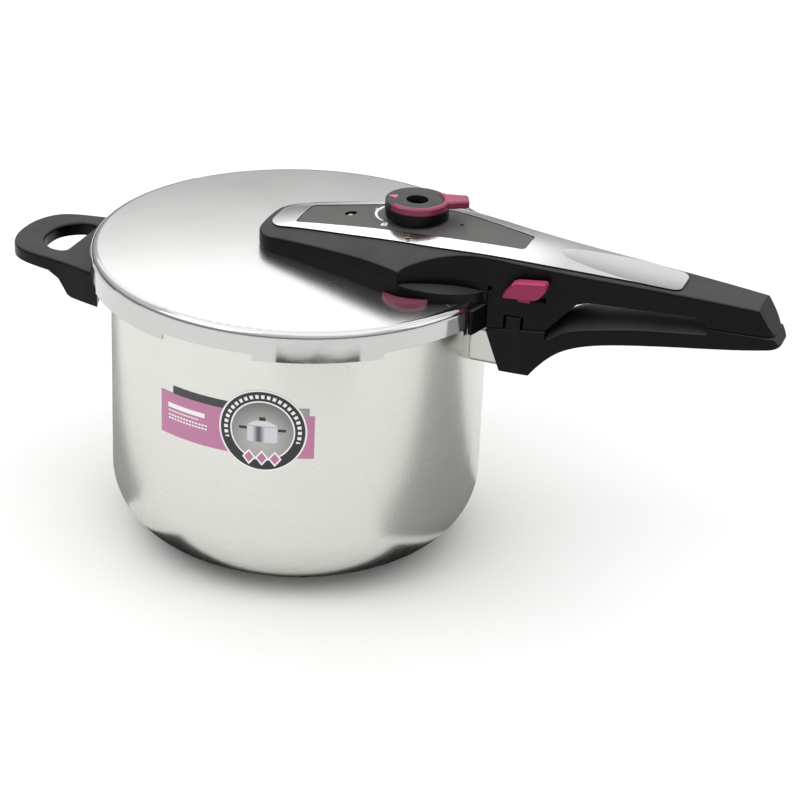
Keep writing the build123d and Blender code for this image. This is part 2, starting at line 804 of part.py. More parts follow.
with BuildPart() as base_ledge:
    add(prism(base_outline(seam_step), 170, 200))
    add(side_slab(ledge_profile), mode=Mode.INTERSECT)
    add(box((60, -70, 150), (240, 70, 240)), mode=Mode.INTERSECT)

with BuildPart() as lid_handle_base:
    add(prism(head_outline(seam_step), 170, 200))
    add(head_front_box, mode=Mode.INTERSECT)
    add(parting_slab(True), mode=Mode.INTERSECT)
    add(base_ledge.part)
    add(base_hollow.part, mode=Mode.SUBTRACT)
    block = sector(block_inner_radius, block_outer_radius, 0, block_span)
    add(prism(block, skirt_bottom_z, 176.6))
    block_top = sector(lid_radius - 6, block_outer_radius, 0, 20)
    add(prism(block_top, 170, 186))
    add(lid_outside, mode=Mode.SUBTRACT)
    add(disc(block_inner_radius, 150, 177), mode=Mode.SUBTRACT)
    add(disc(housing_front_radius - turn_clearance, 150, 220), mode=Mode.INTERSECT)
    add(plug_room, mode=Mode.SUBTRACT)
save(lid_handle_base.part, "lid_handle_base")

seam_front = (parting_end_x, 184.4)
seam_back = (neck_x + 41.0, 191.8)
housing_back = (housing_back_x, 184.4)

grip_side = [
    seam_front,
    seam_back,
    housing_back,
    (gap_front_x, gap_roof_z - 0.6),
    (gap_back_x, gap_roof_z + 0.6),
    (gap_back_x + 7, handle_part_z),
    (tip_x, handle_part_z),
    (tip_top_x, 200.0),
    (tip_top_x, 240.0),
    (parting_end_x, 240.0),
]

with BuildPart() as top_side_form:
    add(side_slab(grip_side))
    add(parting_slab(False))

with BuildPart() as top_cavity:
    add(prism(head_outline(head_wall), 170, cavity_roof_z))
    add(box((cavity_front_x, -70, 150), (lid_radius - 1.9, 70, 240)), mode=Mode.INTERSECT)
    for x, y in boss_places:
        add(disc(boss_radius, 150, 240, x, y), mode=Mode.SUBTRACT)

with BuildPart() as lid_handle_top:
    add(prism(head_outline(), 170, 230))
    add(roof, mode=Mode.INTERSECT)
    add(top_side_form.part, mode=Mode.INTERSECT)
    add(top_cavity.part, mode=Mode.SUBTRACT)
    crowned_face = lid_handle_top.faces().sort_by(SortBy.AREA)[-1]
    fillet(crowned_face.outer_wire().edges(), roof_edge_fillet)
    add(knob_well, mode=Mode.SUBTRACT)
    add(indicator_well, mode=Mode.SUBTRACT)
    for x, y in boss_places:
        add(disc(screw_radius, 170, 240, x, y), mode=Mode.SUBTRACT)
        add(disc(screw_head_radius + 0.2, head_shelf_z, 240, x, y), mode=Mode.SUBTRACT)
save(lid_handle_top.part, "lid_handle_top")

with BuildPart() as lid_bracket:
    add(box((-8, -13, 170), (lid_radius - 8.9, 13, 186.4)))
    add(lid_outside, mode=Mode.SUBTRACT)
    add(disc(9.5, 170, 190, knob_x), mode=Mode.SUBTRACT)
    add(disc(8.0, 170, 190, indicator_x), mode=Mode.SUBTRACT)
    for x, y in boss_places:
        add(disc(screw_radius, 170, 190, x, y), mode=Mode.SUBTRACT)
save(lid_bracket.part, "lid_bracket")

with BuildPart() as lid_handle_screws:
    for x, y in boss_places:
        add(screw(x, lid_crown_z + 0.4, head_shelf_z + screw_head_height, False, y))
save(lid_handle_screws.part, "lid_handle_screws")

with BuildPart() as handle_trim:
    add(prism(trim_outline(), 180, 230))
    add(roof_form(trim_height), mode=Mode.INTERSECT)
    add(roof_form(seat_gap), mode=Mode.SUBTRACT)
    add(prism(inlay_outline(inlay_gap), 180, 230), mode=Mode.SUBTRACT)
save(handle_trim.part, "handle_trim")

with BuildPart() as handle_inlay:
    add(prism(inlay_outline(), 180, 230))
    add(roof_form(inlay_height), mode=Mode.INTERSECT)
    add(roof_form(seat_gap), mode=Mode.SUBTRACT)
    add(knob_well, mode=Mode.SUBTRACT)
    add(indicator_well, mode=Mode.SUBTRACT)
    add(disc(1.2, 190, 230, 97.4), mode=Mode.SUBTRACT)
save(handle_inlay.part, "handle_inlay")

with BuildPart() as trim_rivet:
    rivet_x, rivet_y = 74.7, -26.6
    add(disc(2.1, 195, 230, rivet_x, rivet_y))
    add(roof_form(trim_height + 0.5), mode=Mode.INTERSECT)
    add(roof_form(trim_height), mode=Mode.SUBTRACT)
save(trim_rivet.part, "trim_rivet")

# ---- Lock housing under the grip ---------------------------------------------------------------------------

latch_room_low = (button_front_x + 2.0, -14.0, 166.8)
latch_room_high = (housing_back_x - 8.0, 14.0, stem_z + stem_height + slot_clearance)
bolt_low_z = 167.4
bolt_half = 12.0
housing_profile = [
    (lid_radius - 4.9, housing_bottom_z - 0.5),
    (finger_room_x, housing_bottom_z + housing_rise),
    housing_back,
    seam_back,
    seam_front,
    (lid_radius - 4.9, seam_front[1]),
]

with BuildPart() as lock_housing:
    add(side_slab(housing_profile, 40))
    add(prism(head_outline(0.4), 150, 200), mode=Mode.INTERSECT)
    add(disc(housing_front_radius, 150, 200), mode=Mode.SUBTRACT)
    add(box(latch_room_low, latch_room_high), mode=Mode.SUBTRACT)
    slot_low = (stem_front_x - slot_clearance, -40, stem_z - slot_clearance)
    slot_back = stem_front_x + stem_length + button_travel + slot_clearance
    slot_high = (slot_back, -12, stem_z + stem_height + slot_clearance)
    add(box(slot_low, slot_high), mode=Mode.SUBTRACT)
    key_room_low = (key_front_x - key_gap, -40, 150)
    key_room_back = key_front_x + key_length + key_gap
    key_room_high = (key_room_back, key_inset_y + turn_clearance, key_top_z + key_gap)
    add(box(key_room_low, key_room_high), mode=Mode.SUBTRACT)
save(lock_housing.part, "lock_housing")

button_back_x = button_front_x + button_length

with BuildPart() as lock_button:
    with BuildSketch(Plane.XZ) as button_side:
        with BuildLine():
            Polyline(
                (button_front_x, button_low_z),
                (button_front_x + 1.4, button_low_z + 3.6),
                (button_front_x + 5.6, button_low_z + 9.4),
                (button_front_x + 8.4, button_low_z + 10.6),
                (button_back_x - 1.2, button_low_z + 12.2),
                (button_back_x, button_low_z + 10.8),
                (button_back_x - 0.6, button_low_z + 7.2),
                (button_back_x - 4.0, button_low_z + 2.6),
                (button_back_x - 7.0, button_low_z + 1.2),
                close=True,
            )
        make_face()
        fillet(button_side.vertices(), 1.0)
    extrude(amount=40)
    with BuildSketch(Plane.XY.offset(170)):
        with BuildLine():
            Polyline(
                (button_front_x - 1, -26.2),
                (button_back_x + 1, -24.6),
                (button_back_x + 1, -24.6 - button_depth),
                (button_front_x - 1, -26.2 - button_depth),
                close=True,
            )
        make_face()
    extrude(amount=30, mode=Mode.INTERSECT)
    outer_edges = lock_button.faces().sort_by(Axis.Y)[0].edges()
    fillet(outer_edges, 1.2)
    stem_low = (stem_front_x, -26.3, stem_z)
    stem_high = (stem_front_x + stem_length, -bolt_half, stem_z + stem_height)
    add(box(stem_low, stem_high))
    leg_low = (stem_front_x, -26.3, stem_z)
    leg_high = (stem_front_x + stem_length, -24.8, button_low_z + 3.0)
    add(box(leg_low, leg_high))
save(lock_button.part, "lock_button")

spring_room = 0.2
spring_front_x = stem_front_x + stem_length

with BuildPart() as latch_bolt:
    bolt_low = (latch_room_low[0] + 1.0, -bolt_half, bolt_low_z)
    bolt_high = (spring_front_x, bolt_half, stem_z - 0.4)
    add(box(bolt_low, bolt_high))
    lug_low = (stem_front_x, -bolt_half, stem_z - 1)
    add(box(lug_low, (spring_front_x, bolt_half, stem_z + 1.6)))
    add(box((stem_front_x, -bolt_half - 1, stem_z), (spring_front_x, -bolt_half, 200)), mode=Mode.SUBTRACT)
save(latch_bolt.part, "latch_bolt")


def coil(radius, wire, length, pitch, place):
    """A helical spring of round wire, standing on place and growing along its normal."""
    with BuildPart() as spring:
        with BuildLine():
            turns = Helix(pitch=pitch, height=length - 2 * wire, radius=radius)
        with BuildSketch(Plane(origin=turns @ 0, z_dir=turns % 0)):
            Circle(wire)
        sweep(path=turns, is_frenet=True)
    return spring.part.moved(Location((0, 0, wire))).moved(place.location)


with BuildPart() as latch_spring:
    spring_place = Plane(origin=(spring_front_x + spring_room, 0, 173.5), x_dir=(0, 1, 0), z_dir=(1, 0, 0))
    spring_length = latch_room_high[0] - spring_front_x - 2 * spring_room
    add(coil(2.6, 0.4, spring_length, 2.4, spring_place))
save(latch_spring.part, "latch_spring")

# ---- Valve through the lid -----------------------------------------------------------------------------------

valve_shoulder_z = 178.6
cap_nozzle_radius = 6.0
nozzle_low_z = 172.0

with BuildPart() as valve_body:
    add(disc(valve_radius, nozzle_low_z, valve_top_z, knob_x))
    add(disc(valve_flange_radius, valve_shoulder_z - 3, valve_shoulder_z, knob_x))
    add(disc(cap_nozzle_radius, nozzle_low_z, valve_shoulder_z, knob_x))
    add(disc(valve_bore_radius, 160, 230, knob_x), mode=Mode.SUBTRACT)
    add(disc(valve_chamber_radius, valve_seat_z, 230, knob_x), mode=Mode.SUBTRACT)
save(valve_body.part, "valve_body")

with BuildPart() as valve_gasket:
    add(disc(valve_flange_radius, valve_shoulder_z, 190, knob_x))
    add(lid_inside, mode=Mode.INTERSECT)
    add(disc(valve_radius, 160, 230, knob_x), mode=Mode.SUBTRACT)
save(valve_gasket.part, "valve_gasket")

nut_low_z = 183.5

with BuildPart() as valve_nut:
    with BuildSketch(Plane.XY.offset(nut_low_z)):
        with Locations((knob_x, 0)):
            RegularPolygon(8.0, 6)
            Circle(valve_radius, mode=Mode.SUBTRACT)
    extrude(amount=5.0)
save(valve_nut.part, "valve_nut")

with BuildPart() as anti_clog_cap:
    cap_low_z = nozzle_low_z - 5.0
    cap_outer = cap_nozzle_radius + 1.0
    add(disc(cap_outer, cap_low_z, nozzle_low_z + 3, knob_x))
    add(disc(cap_nozzle_radius, cap_low_z + 1, 200, knob_x), mode=Mode.SUBTRACT)
    with Locations((knob_x, 0, cap_low_z)):
        with PolarLocations(3.6, 6):
            Hole(0.9)
save(anti_clog_cap.part, "anti_clog_cap")

poppet_top_z = 205.0
poppet_travel = 2.5
retainer_z = 212.6

with BuildPart() as valve_poppet:
    poppet_radius = valve_chamber_radius - running_clearance - 0.1
    add(disc(poppet_radius, valve_seat_z, poppet_top_z, knob_x))
    with Locations((knob_x, 0, valve_seat_z)):
        Cone(0.6, valve_bore_radius - 0.1, 2.4, align=(Align.CENTER, Align.CENTER, Align.MAX))
    add(disc(1.2, valve_seat_z + 4, poppet_top_z + 1, knob_x), mode=Mode.SUBTRACT)
save(valve_poppet.part, "valve_poppet")

with BuildPart() as valve_retainer:
    add(disc(valve_chamber_radius, retainer_z, valve_top_z, knob_x))
    add(disc(1.5, retainer_z - 1, valve_top_z + 1, knob_x), mode=Mode.SUBTRACT)
save(valve_retainer.part, "valve_retainer")

with BuildPart() as poppet_spring:
    poppet_place = Plane(origin=(knob_x, 0, poppet_top_z + 0.1))
    add(coil(2.5, 0.35, retainer_z - poppet_top_z - 0.2, 1.5, poppet_place))
save(poppet_spring.part, "poppet_spring")

# ---- Regulator knob --------------------------------------------------------------------------------------------

with BuildPart() as knob_base:
    add(disc(knob_radius, knob_base_z, knob_ring_z, knob_x))
    bottom_rim = knob_base.edges().group_by(Axis.Z)[0]
    fillet(bottom_rim, 0.8)
    add(disc(knob_hub_radius, knob_hub_z, knob_base_z + 1, knob_x))
    add(disc(valve_radius + running_clearance, 190, valve_top_z, knob_x), mode=Mode.SUBTRACT)
    add(disc(knob_bore_radius, valve_top_z, 230, knob_x), mode=Mode.SUBTRACT)
save(knob_base.part, "knob_base")

open_span = ring_open_to - ring_open_from
open_middle = (ring_open_to + ring_open_from) / 2

with BuildPart() as knob_lever_ring:
    with BuildSketch(Plane.XY.offset(knob_ring_z)):
        with Locations((knob_x, 0)):
            Circle(knob_radius)
            with Locations(Rotation(0, 0, lever_angle)):
                with Locations((0, 0)):
                    Trapezoid(19.0, lever_reach, 81.0, rotation=-90, align=(Align.CENTER, Align.MIN))
            Circle(knob_cap_radius + 0.1, mode=Mode.SUBTRACT)
            add(sector(knob_cap_radius - 2, knob_radius + 2, open_middle, open_span), mode=Mode.SUBTRACT)
    extrude(amount=knob_ring_top_z - knob_ring_z)
    tall_edges = knob_lever_ring.edges().filter_by(Axis.Z).sort_by(Axis.X)[-2:]
    fillet(tall_edges, 1.5)
    top_edges = knob_lever_ring.faces().sort_by(Axis.Z)[-1].outer_wire().edges()
    chamfer(top_edges, ring_edge_chamfer)
save(knob_lever_ring.part, "knob_lever_ring")

with BuildPart() as knob_cap:
    with BuildSketch(Plane.XY.offset(knob_ring_z)):
        with Locations((knob_x, 0)):
            Circle(knob_cap_radius)
            add(sector(knob_bore_radius + 2, knob_radius - 0.2, open_middle, open_span - 2))
            Circle(knob_bore_radius, mode=Mode.SUBTRACT)
    extrude(amount=knob_cap_z - knob_ring_z)
    cap_top = knob_cap.faces().sort_by(Axis.Z)[-1]
    fillet(cap_top.edges(), cap_edge_fillet)
save(knob_cap.part, "knob_cap")

# ---- Pressure indicator --------------------------------------------------------------------------------------------

bush_low_z = 181.2
pin_head_z = 170.6
seal_top_z = bush_low_z - indicator_travel - 0.4

with BuildPart() as indicator_bush:
    add(disc(7.5, bush_low_z, 190, indicator_x))
    add(lid_inside, mode=Mode.INTERSECT)
    add(disc(bush_radius, bush_low_z, 187.6, indicator_x))
    add(disc(7.5, lid_crown_z, 187.6, indicator_x))
    add(disc(indicator_radius + running_clearance, 160, 230, indicator_x), mode=Mode.SUBTRACT)
save(indicator_bush.part, "indicator_bush")

with BuildPart() as indicator_pin:
    add(disc(indicator_radius, pin_head_z, indicator_top_z, indicator_x))
    add(disc(indicator_radius + 1.6, pin_head_z, seal_top_z - 1.6, indicator_x))
    fillet(indicator_pin.edges().group_by(Axis.Z)[-1], 1.0)
save(indicator_pin.part, "indicator_pin")

with BuildPart() as indicator_seal:
    add(disc(indicator_radius + 1.5, seal_top_z - 1.6, seal_top_z, indicator_x))
    add(disc(indicator_radius, 160, 230, indicator_x), mode=Mode.SUBTRACT)
save(indicator_seal.part, "indicator_seal")

# ---- Safety plug -----------------------------------------------------------------------------------------------------

with BuildPart() as safety_plug:
    add(disc(plug_radius, 170, plug_top_z, plug_x, plug_y))
    add(lid_outside, mode=Mode.SUBTRACT)
    add(disc(plug_stem_radius, 177.0, plug_top_z, plug_x, plug_y))
save(safety_plug.part, "safety_plug")
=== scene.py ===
"""Looks of a stovetop pressure cooker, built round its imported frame.

Every finish is a procedural material in object coordinates, and every added piece sits on the frame's
own boxes. Lengths inside the classes are in millimetres and become metres where a mesh is made.
"""

import logging
import math
from dataclasses import dataclass, field
from enum import Enum

import bpy
from mathutils import Matrix, Vector


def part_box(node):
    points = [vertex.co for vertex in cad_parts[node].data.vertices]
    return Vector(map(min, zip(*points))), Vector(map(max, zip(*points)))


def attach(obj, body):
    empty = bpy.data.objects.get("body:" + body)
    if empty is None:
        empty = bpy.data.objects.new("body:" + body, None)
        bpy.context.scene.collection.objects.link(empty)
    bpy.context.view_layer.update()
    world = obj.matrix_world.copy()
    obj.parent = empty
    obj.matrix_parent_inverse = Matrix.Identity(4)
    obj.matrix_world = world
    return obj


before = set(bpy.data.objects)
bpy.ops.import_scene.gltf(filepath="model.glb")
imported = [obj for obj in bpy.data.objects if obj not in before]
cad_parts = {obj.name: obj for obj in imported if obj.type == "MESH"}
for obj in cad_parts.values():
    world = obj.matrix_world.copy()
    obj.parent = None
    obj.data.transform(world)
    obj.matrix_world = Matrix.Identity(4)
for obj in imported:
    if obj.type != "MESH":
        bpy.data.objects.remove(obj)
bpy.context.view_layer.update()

log = logging.getLogger("pressure_cooker")
MM = 0.001
Colour = tuple[float, float, float]
Number = "Signal | float"
Socket = bpy.types.NodeSocket


class Body(Enum):
    """The moving bodies that pieces ride on."""

    POT = "pot"
    LID = "lid"
    KNOB = "knob"
    POPPET = "poppet"
    INDICATOR = "indicator"
    LATCH = "latch"


# ---- Shader maths ------------------------------------------------------------------------------------


def fill_ramp(ramp: bpy.types.ColorRamp, stops: list[tuple[float, Colour]]) -> None:
    """Gives a colour ramp its stops, each a place from 0 to 1 and a colour."""
    while len(ramp.elements) < len(stops):
        ramp.elements.new(0.5)
    for element, (place, colour) in zip(ramp.elements, stops):
        element.position = place
        element.color = (*colour, 1.0)


class Signal:
    """A number that varies over a surface, held as a node socket and used in plain arithmetic."""

    def __init__(self, paint: "Paint", socket: bpy.types.NodeSocket) -> None:
        """Wraps one output socket.

        Args:
            paint: the material that the socket belongs to.
            socket: the output socket.
        """
        self.paint = paint
        self.socket = socket

    def __add__(self, other: Number) -> "Signal":
        """The sum."""
        return self.paint.math("ADD", self, other)

    def __sub__(self, other: Number) -> "Signal":
        """The difference."""
        return self.paint.math("SUBTRACT", self, other)

    def __rsub__(self, other: float) -> "Signal":
        """The difference, taken from a number."""
        return self.paint.math("SUBTRACT", other, self)

    def __mul__(self, other: Number) -> "Signal":
        """The product."""
        return self.paint.math("MULTIPLY", self, other)

    def __truediv__(self, other: Number) -> "Signal":
        """The quotient."""
        return self.paint.math("DIVIDE", self, other)

    def __and__(self, other: Number) -> "Signal":
        """Where both masks are set."""
        return self.paint.math("MINIMUM", self, other)

    def __or__(self, other: Number) -> "Signal":
        """Where either mask is set."""
        return self.paint.math("MAXIMUM", self, other)

    def __abs__(self) -> "Signal":
        """The size without its sign."""
        return self.paint.math("ABSOLUTE", self)

    __radd__ = __add__
    __rmul__ = __mul__

    def above(self, edge: float, soft: float = 0.08) -> "Signal":
        """A mask that is 1 where this is more than edge.

        Args:
            edge: the value where the mask is half set.
            soft: how wide the change from 0 to 1 is.

        Returns:
            The mask, from 0 to 1.
        """
        return self.paint.math("ADD", (self - edge) * (1.0 / soft), 0.5, clamped=True)

    def below(self, edge: float, soft: float = 0.08) -> "Signal":
        """A mask that is 1 where this is less than edge; soft is as in above."""
        return 1.0 - self.above(edge, soft)

    def between(self, low: float, high: float, soft: float = 0.08) -> "Signal":
        """A mask that is 1 from low to high; soft is as in above."""
        return self.above(low, soft) & self.below(high, soft)

    def repeat(self, pitch: float) -> "Signal":
        """This value folded into one pitch, from minus half of it to plus half of it."""
        return self.paint.math("WRAP", self, pitch / 2, -pitch / 2)


class Paint:
    """One node material, with its nodes made through a single method."""

    def __init__(self, name: str) -> None:
        """Starts an empty material.

        Args:
            name: the finish's name.
        """
        self.material = bpy.data.materials.new(name)
        self.material.use_nodes = True
        self.tree = self.material.node_tree
        self.tree.nodes.clear()

    def node(self, kind: str, settings: dict | None = None, inputs: dict | None = None) -> bpy.types.Node:
        """Adds one node.

        Args:
            kind: the node's type.
            settings: the node's own properties, set first; "stops" fills a colour ramp.
            inputs: values, signals or sockets for its inputs, by name or place.

        Returns:
            The node.
        """
        made = self.tree.nodes.new(kind)
        for key, value in (settings or {}).items():
            if key == "stops":
                fill_ramp(made.color_ramp, value)
            else:
                setattr(made, key, value)
        for key, value in (inputs or {}).items():
            self.feed(made.inputs[key], value)
        return made

    def feed(self, socket: Socket, value: object) -> None:
        """Links or sets one input socket."""
        if isinstance(value, Signal):
            value = value.socket
        if isinstance(value, Socket):
            self.tree.links.new(value, socket)
        elif isinstance(value, tuple) and len(value) == 3 and socket.type == "RGBA":
            socket.default_value = (*value, 1.0)
        else:
            socket.default_value = value

    def math(self, operation: str, *values: Number, clamped: bool = False) -> Signal:
        """Adds a Math node.

        Args:
            operation: the node's operation.
            values: its inputs, in order.
            clamped: keeps the result between 0 and 1.

        Returns:
            The result.
        """
        settings = {"operation": operation, "use_clamp": clamped}
        made = self.node("ShaderNodeMath", settings, dict(enumerate(values)))
        return Signal(self, made.outputs[0])

    def place(self) -> Socket:
        """The object coordinates, in metres."""
        return self.node("ShaderNodeTexCoord").outputs["Object"]

    def axes(self) -> tuple[Signal, Signal, Signal]:
        """The object coordinates as three numbers in millimetres."""
        split = self.node("ShaderNodeSeparateXYZ", inputs={0: self.place()})
        return tuple(Signal(self, split.outputs[i]) * (1 / MM) for i in range(3))

    def vector(self, x: Number, y: Number, z: Number) -> Socket:
        """Three numbers joined into a vector."""
        return self.node("ShaderNodeCombineXYZ", inputs={0: x, 1: y, 2: z}).outputs[0]

    def noise(self, vector: Socket, scale: float, detail: float = 2.0) -> Signal:
        """Soft noise from 0 to 1.

        Args:
            vector: where it is read.
            scale: waves for each unit of the vector.
            detail: octaves of finer noise on top.

        Returns:
            The noise.
        """
        inputs = {"Vector": vector, "Scale": scale, "Detail": detail, "Roughness": 0.55}
        return Signal(self, self.node("ShaderNodeTexNoise", inputs=inputs).outputs["Fac"])

    def mix(self, mask: Number, low: object, high: object) -> Socket:
        """A colour between two, by a mask.

        Args:
            mask: 0 gives low and 1 gives high.
            low: a colour or a colour socket.
            high: the same.

        Returns:
            The mixed colour.
        """
        made = self.node("ShaderNodeMix", {"data_type": "RGBA"})
        self.feed(made.inputs[0], mask)
        self.feed(made.inputs[6], low)
        self.feed(made.inputs[7], high)
        return made.outputs[2]

    def facing_up(self) -> Signal:
        """The upward part of the surface's own direction, from -1 to 1."""
        normal = self.node("ShaderNodeNewGeometry").outputs["Normal"]
        return Signal(self, self.node("ShaderNodeSeparateXYZ", inputs={0: normal}).outputs[2])

    def relief(self, height: Signal, depth: float, edge: float = 0.0) -> Socket:
        """A surface direction with fine relief.

        Args:
            height: the relief, from 0 to 1.
            depth: how deep it is, in millimetres.
            edge: radius that softens the shape's edges, in millimetres.

        Returns:
            The direction for the shader's Normal socket.
        """
        inputs = {"Height": height, "Distance": depth * MM, "Strength": 1.0}
        if edge:
            rounded = self.node("ShaderNodeBevel", {"samples": 4}, {"Radius": edge * MM})
            inputs["Normal"] = rounded.outputs[0]
        return self.node("ShaderNodeBump", inputs=inputs).outputs[0]

    def surface(self, **sockets: object) -> bpy.types.Material:
        """Ends the material in one shader.

        Args:
            sockets: the shader's inputs, with underscores for the spaces in their names.

        Returns:
            The finished material.
        """
        inputs = {key.replace("_", " "): value for key, value in sockets.items()}
        shader = self.node("ShaderNodeBsdfPrincipled", inputs=inputs)
        self.node("ShaderNodeOutputMaterial", inputs={"Surface": shader.outputs[0]})
        return self.material


# ---- Finishes ------------------------------------------------------------------------------------------


@dataclass(frozen=True)
class TurnedSteel:
    """Stainless steel with fine marks that run round the pot's axis.

    Attributes:
        name: the finish's name.
        colour: the metal's colour.
        satin: roughness of the brushed face.
        marks: depth of the brushing marks, in millimetres.
        polish_radius: beyond this distance from the axis the steel is polished, in millimetres.
        polished: roughness of the polished part.
        polish_painted_shade: how much darker the polished part is painted, as a factor on its colour; painted
            shade for the darker reflection that the polished band shows.
    """

    name: str
    colour: Colour = (0.69, 0.685, 0.65)
    satin: float = 0.27
    marks: float = 0.002
    polish_radius: float = 1000.0
    polished: float = 0.06
    polish_painted_shade: float = 0.72

    def material(self) -> bpy.types.Material:
        """Builds the finish."""
        paint = Paint(self.name)
        x, y, z = paint.axes()
        radius = paint.math("SQRT", x * x + y * y)
        turned = paint.vector(x / 9.0, y / 9.0, (z + radius) * 4.0)
        lines = paint.noise(turned, 1.0, 3.0)
        clouds = paint.noise(paint.vector(x / 40.0, y / 40.0, z / 26.0), 1.0)
        smears = paint.noise(paint.vector(x / 14.0, y / 14.0, z / 5.0), 1.0, 3.0)
        polished = radius.above(self.polish_radius, 1.0)
        satin = self.satin + (clouds - 0.5) * 0.06 + (lines - 0.5) * 0.03
        bright = self.polished + smears.above(0.55, 0.3) * 0.04
        rough = satin * (1.0 - polished) + bright * polished
        dull = tuple(c * 0.94 for c in self.colour)
        tone = paint.mix(clouds * 0.8 + smears * 0.2, dull, self.colour)
        # The polished band's colour is darkened: painted shade for the darker reflection that it shows.
        tone = paint.mix(polished, tone, tuple(c * self.polish_painted_shade for c in self.colour))
        height = lines * (1.0 - polished)
        return paint.surface(
            Base_Color=tone,
            Metallic=1.0,
            Roughness=rough,
            Normal=paint.relief(height, self.marks, 0.3),
        )


@dataclass(frozen=True)
class PlainMetal:
    """A small metal part with faint handling marks.

    Attributes:
        name: the finish's name.
        colour: the metal's colour.
        roughness: its roughness.
        spread: how far the roughness varies.
        edge: radius that softens its edges, in millimetres.
    """

    name: str
    colour: Colour
    roughness: float
    spread: float = 0.08
    edge: float = 0.25

    def material(self) -> bpy.types.Material:
        """Builds the finish."""
        paint = Paint(self.name)
        marks = paint.noise(paint.place(), 220.0, 4.0)
        grain = paint.noise(paint.place(), 1400.0)
        worn = tuple(c * 0.84 for c in self.colour)
        return paint.surface(
            Base_Color=paint.mix(marks, worn, self.colour),
            Metallic=1.0,
            Roughness=self.roughness + (marks - 0.5) * (2 * self.spread),
            Normal=paint.relief(grain, 0.003, self.edge),
        )


@dataclass(frozen=True)
class BrightTrim:
    """Chromed trim that is mirror bright at the front and satin on the grip.

    Attributes:
        name: the finish's name.
        colour: the plating's colour.
        satin_from: where along the handle the satin starts, in millimetres.
        satin_full: where it is fully satin.
    """

    name: str
    colour: Colour = (0.88, 0.88, 0.89)
    satin_from: float = 120.0
    satin_full: float = 165.0

    def material(self) -> bpy.types.Material:
        """Builds the finish."""
        paint = Paint(self.name)
        x, y, z = paint.axes()
        span = self.satin_full - self.satin_from
        satin = x.above((self.satin_from + self.satin_full) / 2, span)
        fine = paint.noise(paint.place(), 2600.0)
        smears = paint.noise(paint.vector(x / 30.0, y / 8.0, z), 1.0, 3.0)
        grip = tuple(c * 0.56 for c in self.colour)
        plated = paint.mix(satin, self.colour, grip)
        # Faces that don't point up are painted nearly black: painted shade on the trim's sides.
        side_painted_shade = paint.facing_up().below(0.55, 0.2)
        return paint.surface(
            Base_Color=paint.mix(side_painted_shade, plated, (0.02, 0.02, 0.02)),
            Metallic=1.0,
            Roughness=0.16 + satin * 0.22 + smears * 0.06,
            Normal=paint.relief(fine, 0.002, 0.5),
        )


@dataclass(frozen=True)
class MouldedPlastic:
    """Moulded plastic, eroded to a fine grain where it faces up and smoother on its sides. Its lighter tops
    and darker sides are partly that finish and partly painted light and shade, for the tops face the light.

    Attributes:
        name: the finish's name.
        side: colour of the sides, darker partly as painted shade.
        top: colour of the faces that point up, lighter partly as painted light.
        rough_side: roughness of the sides.
        rough_top: roughness of the tops.
        grain: depth of the eroded grain, in millimetres.
        edge: radius that softens the edges, in millimetres.
        gloss: strength of the surface reflection.
    """

    name: str
    side: Colour = (0.002, 0.002, 0.0025)
    top: Colour = (0.040, 0.040, 0.041)
    rough_side: float = 0.34
    rough_top: float = 0.50
    grain: float = 0.022
    edge: float = 0.6
    gloss: float = 0.13

    def material(self) -> bpy.types.Material:
        """Builds the finish."""
        paint = Paint(self.name)
        up = paint.facing_up().above(0.62, 0.5)
        spot = paint.noise(paint.place(), 2400.0)
        cloud = paint.noise(paint.place(), 38.0, 4.0)
        rubbed = cloud.above(0.56, 0.5)
        brighter = tuple(c * 1.5 + 0.004 for c in self.top)
        face = paint.mix(rubbed * up, self.top, brighter)
        # Tops lighter and sides darker by facing: partly the grain finish, partly painted light and shade.
        return paint.surface(
            Base_Color=paint.mix(up, self.side, face),
            Roughness=self.rough_side + up * (self.rough_top - self.rough_side) + (cloud - 0.5) * 0.12,
            Normal=paint.relief(spot * (0.25 + up * 0.75), self.grain, self.edge),
            Specular_IOR_Level=self.gloss,
        )


@dataclass(frozen=True)
class SoftRubber:
    """Silicone or rubber with a dull bloom.

    Attributes:
        name: the finish's name.
        colour: its colour.
        roughness: its roughness.
        sheen: strength of the soft bloom.
    """

    name: str
    colour: Colour
    roughness: float = 0.55
    sheen: float = 0.15

    def material(self) -> bpy.types.Material:
        """Builds the finish."""
        paint = Paint(self.name)
        cloud = paint.noise(paint.place(), 90.0, 4.0)
        spot = paint.noise(paint.place(), 1800.0)
        pale = tuple(c * 1.25 + 0.01 for c in self.colour)
        return paint.surface(
            Base_Color=paint.mix(cloud, self.colour, pale),
            Roughness=self.roughness + (cloud - 0.5) * 0.14,
            Normal=paint.relief(spot, 0.010, 0.3),
            Sheen_Weight=self.sheen,
            Specular_IOR_Level=0.4,
        )


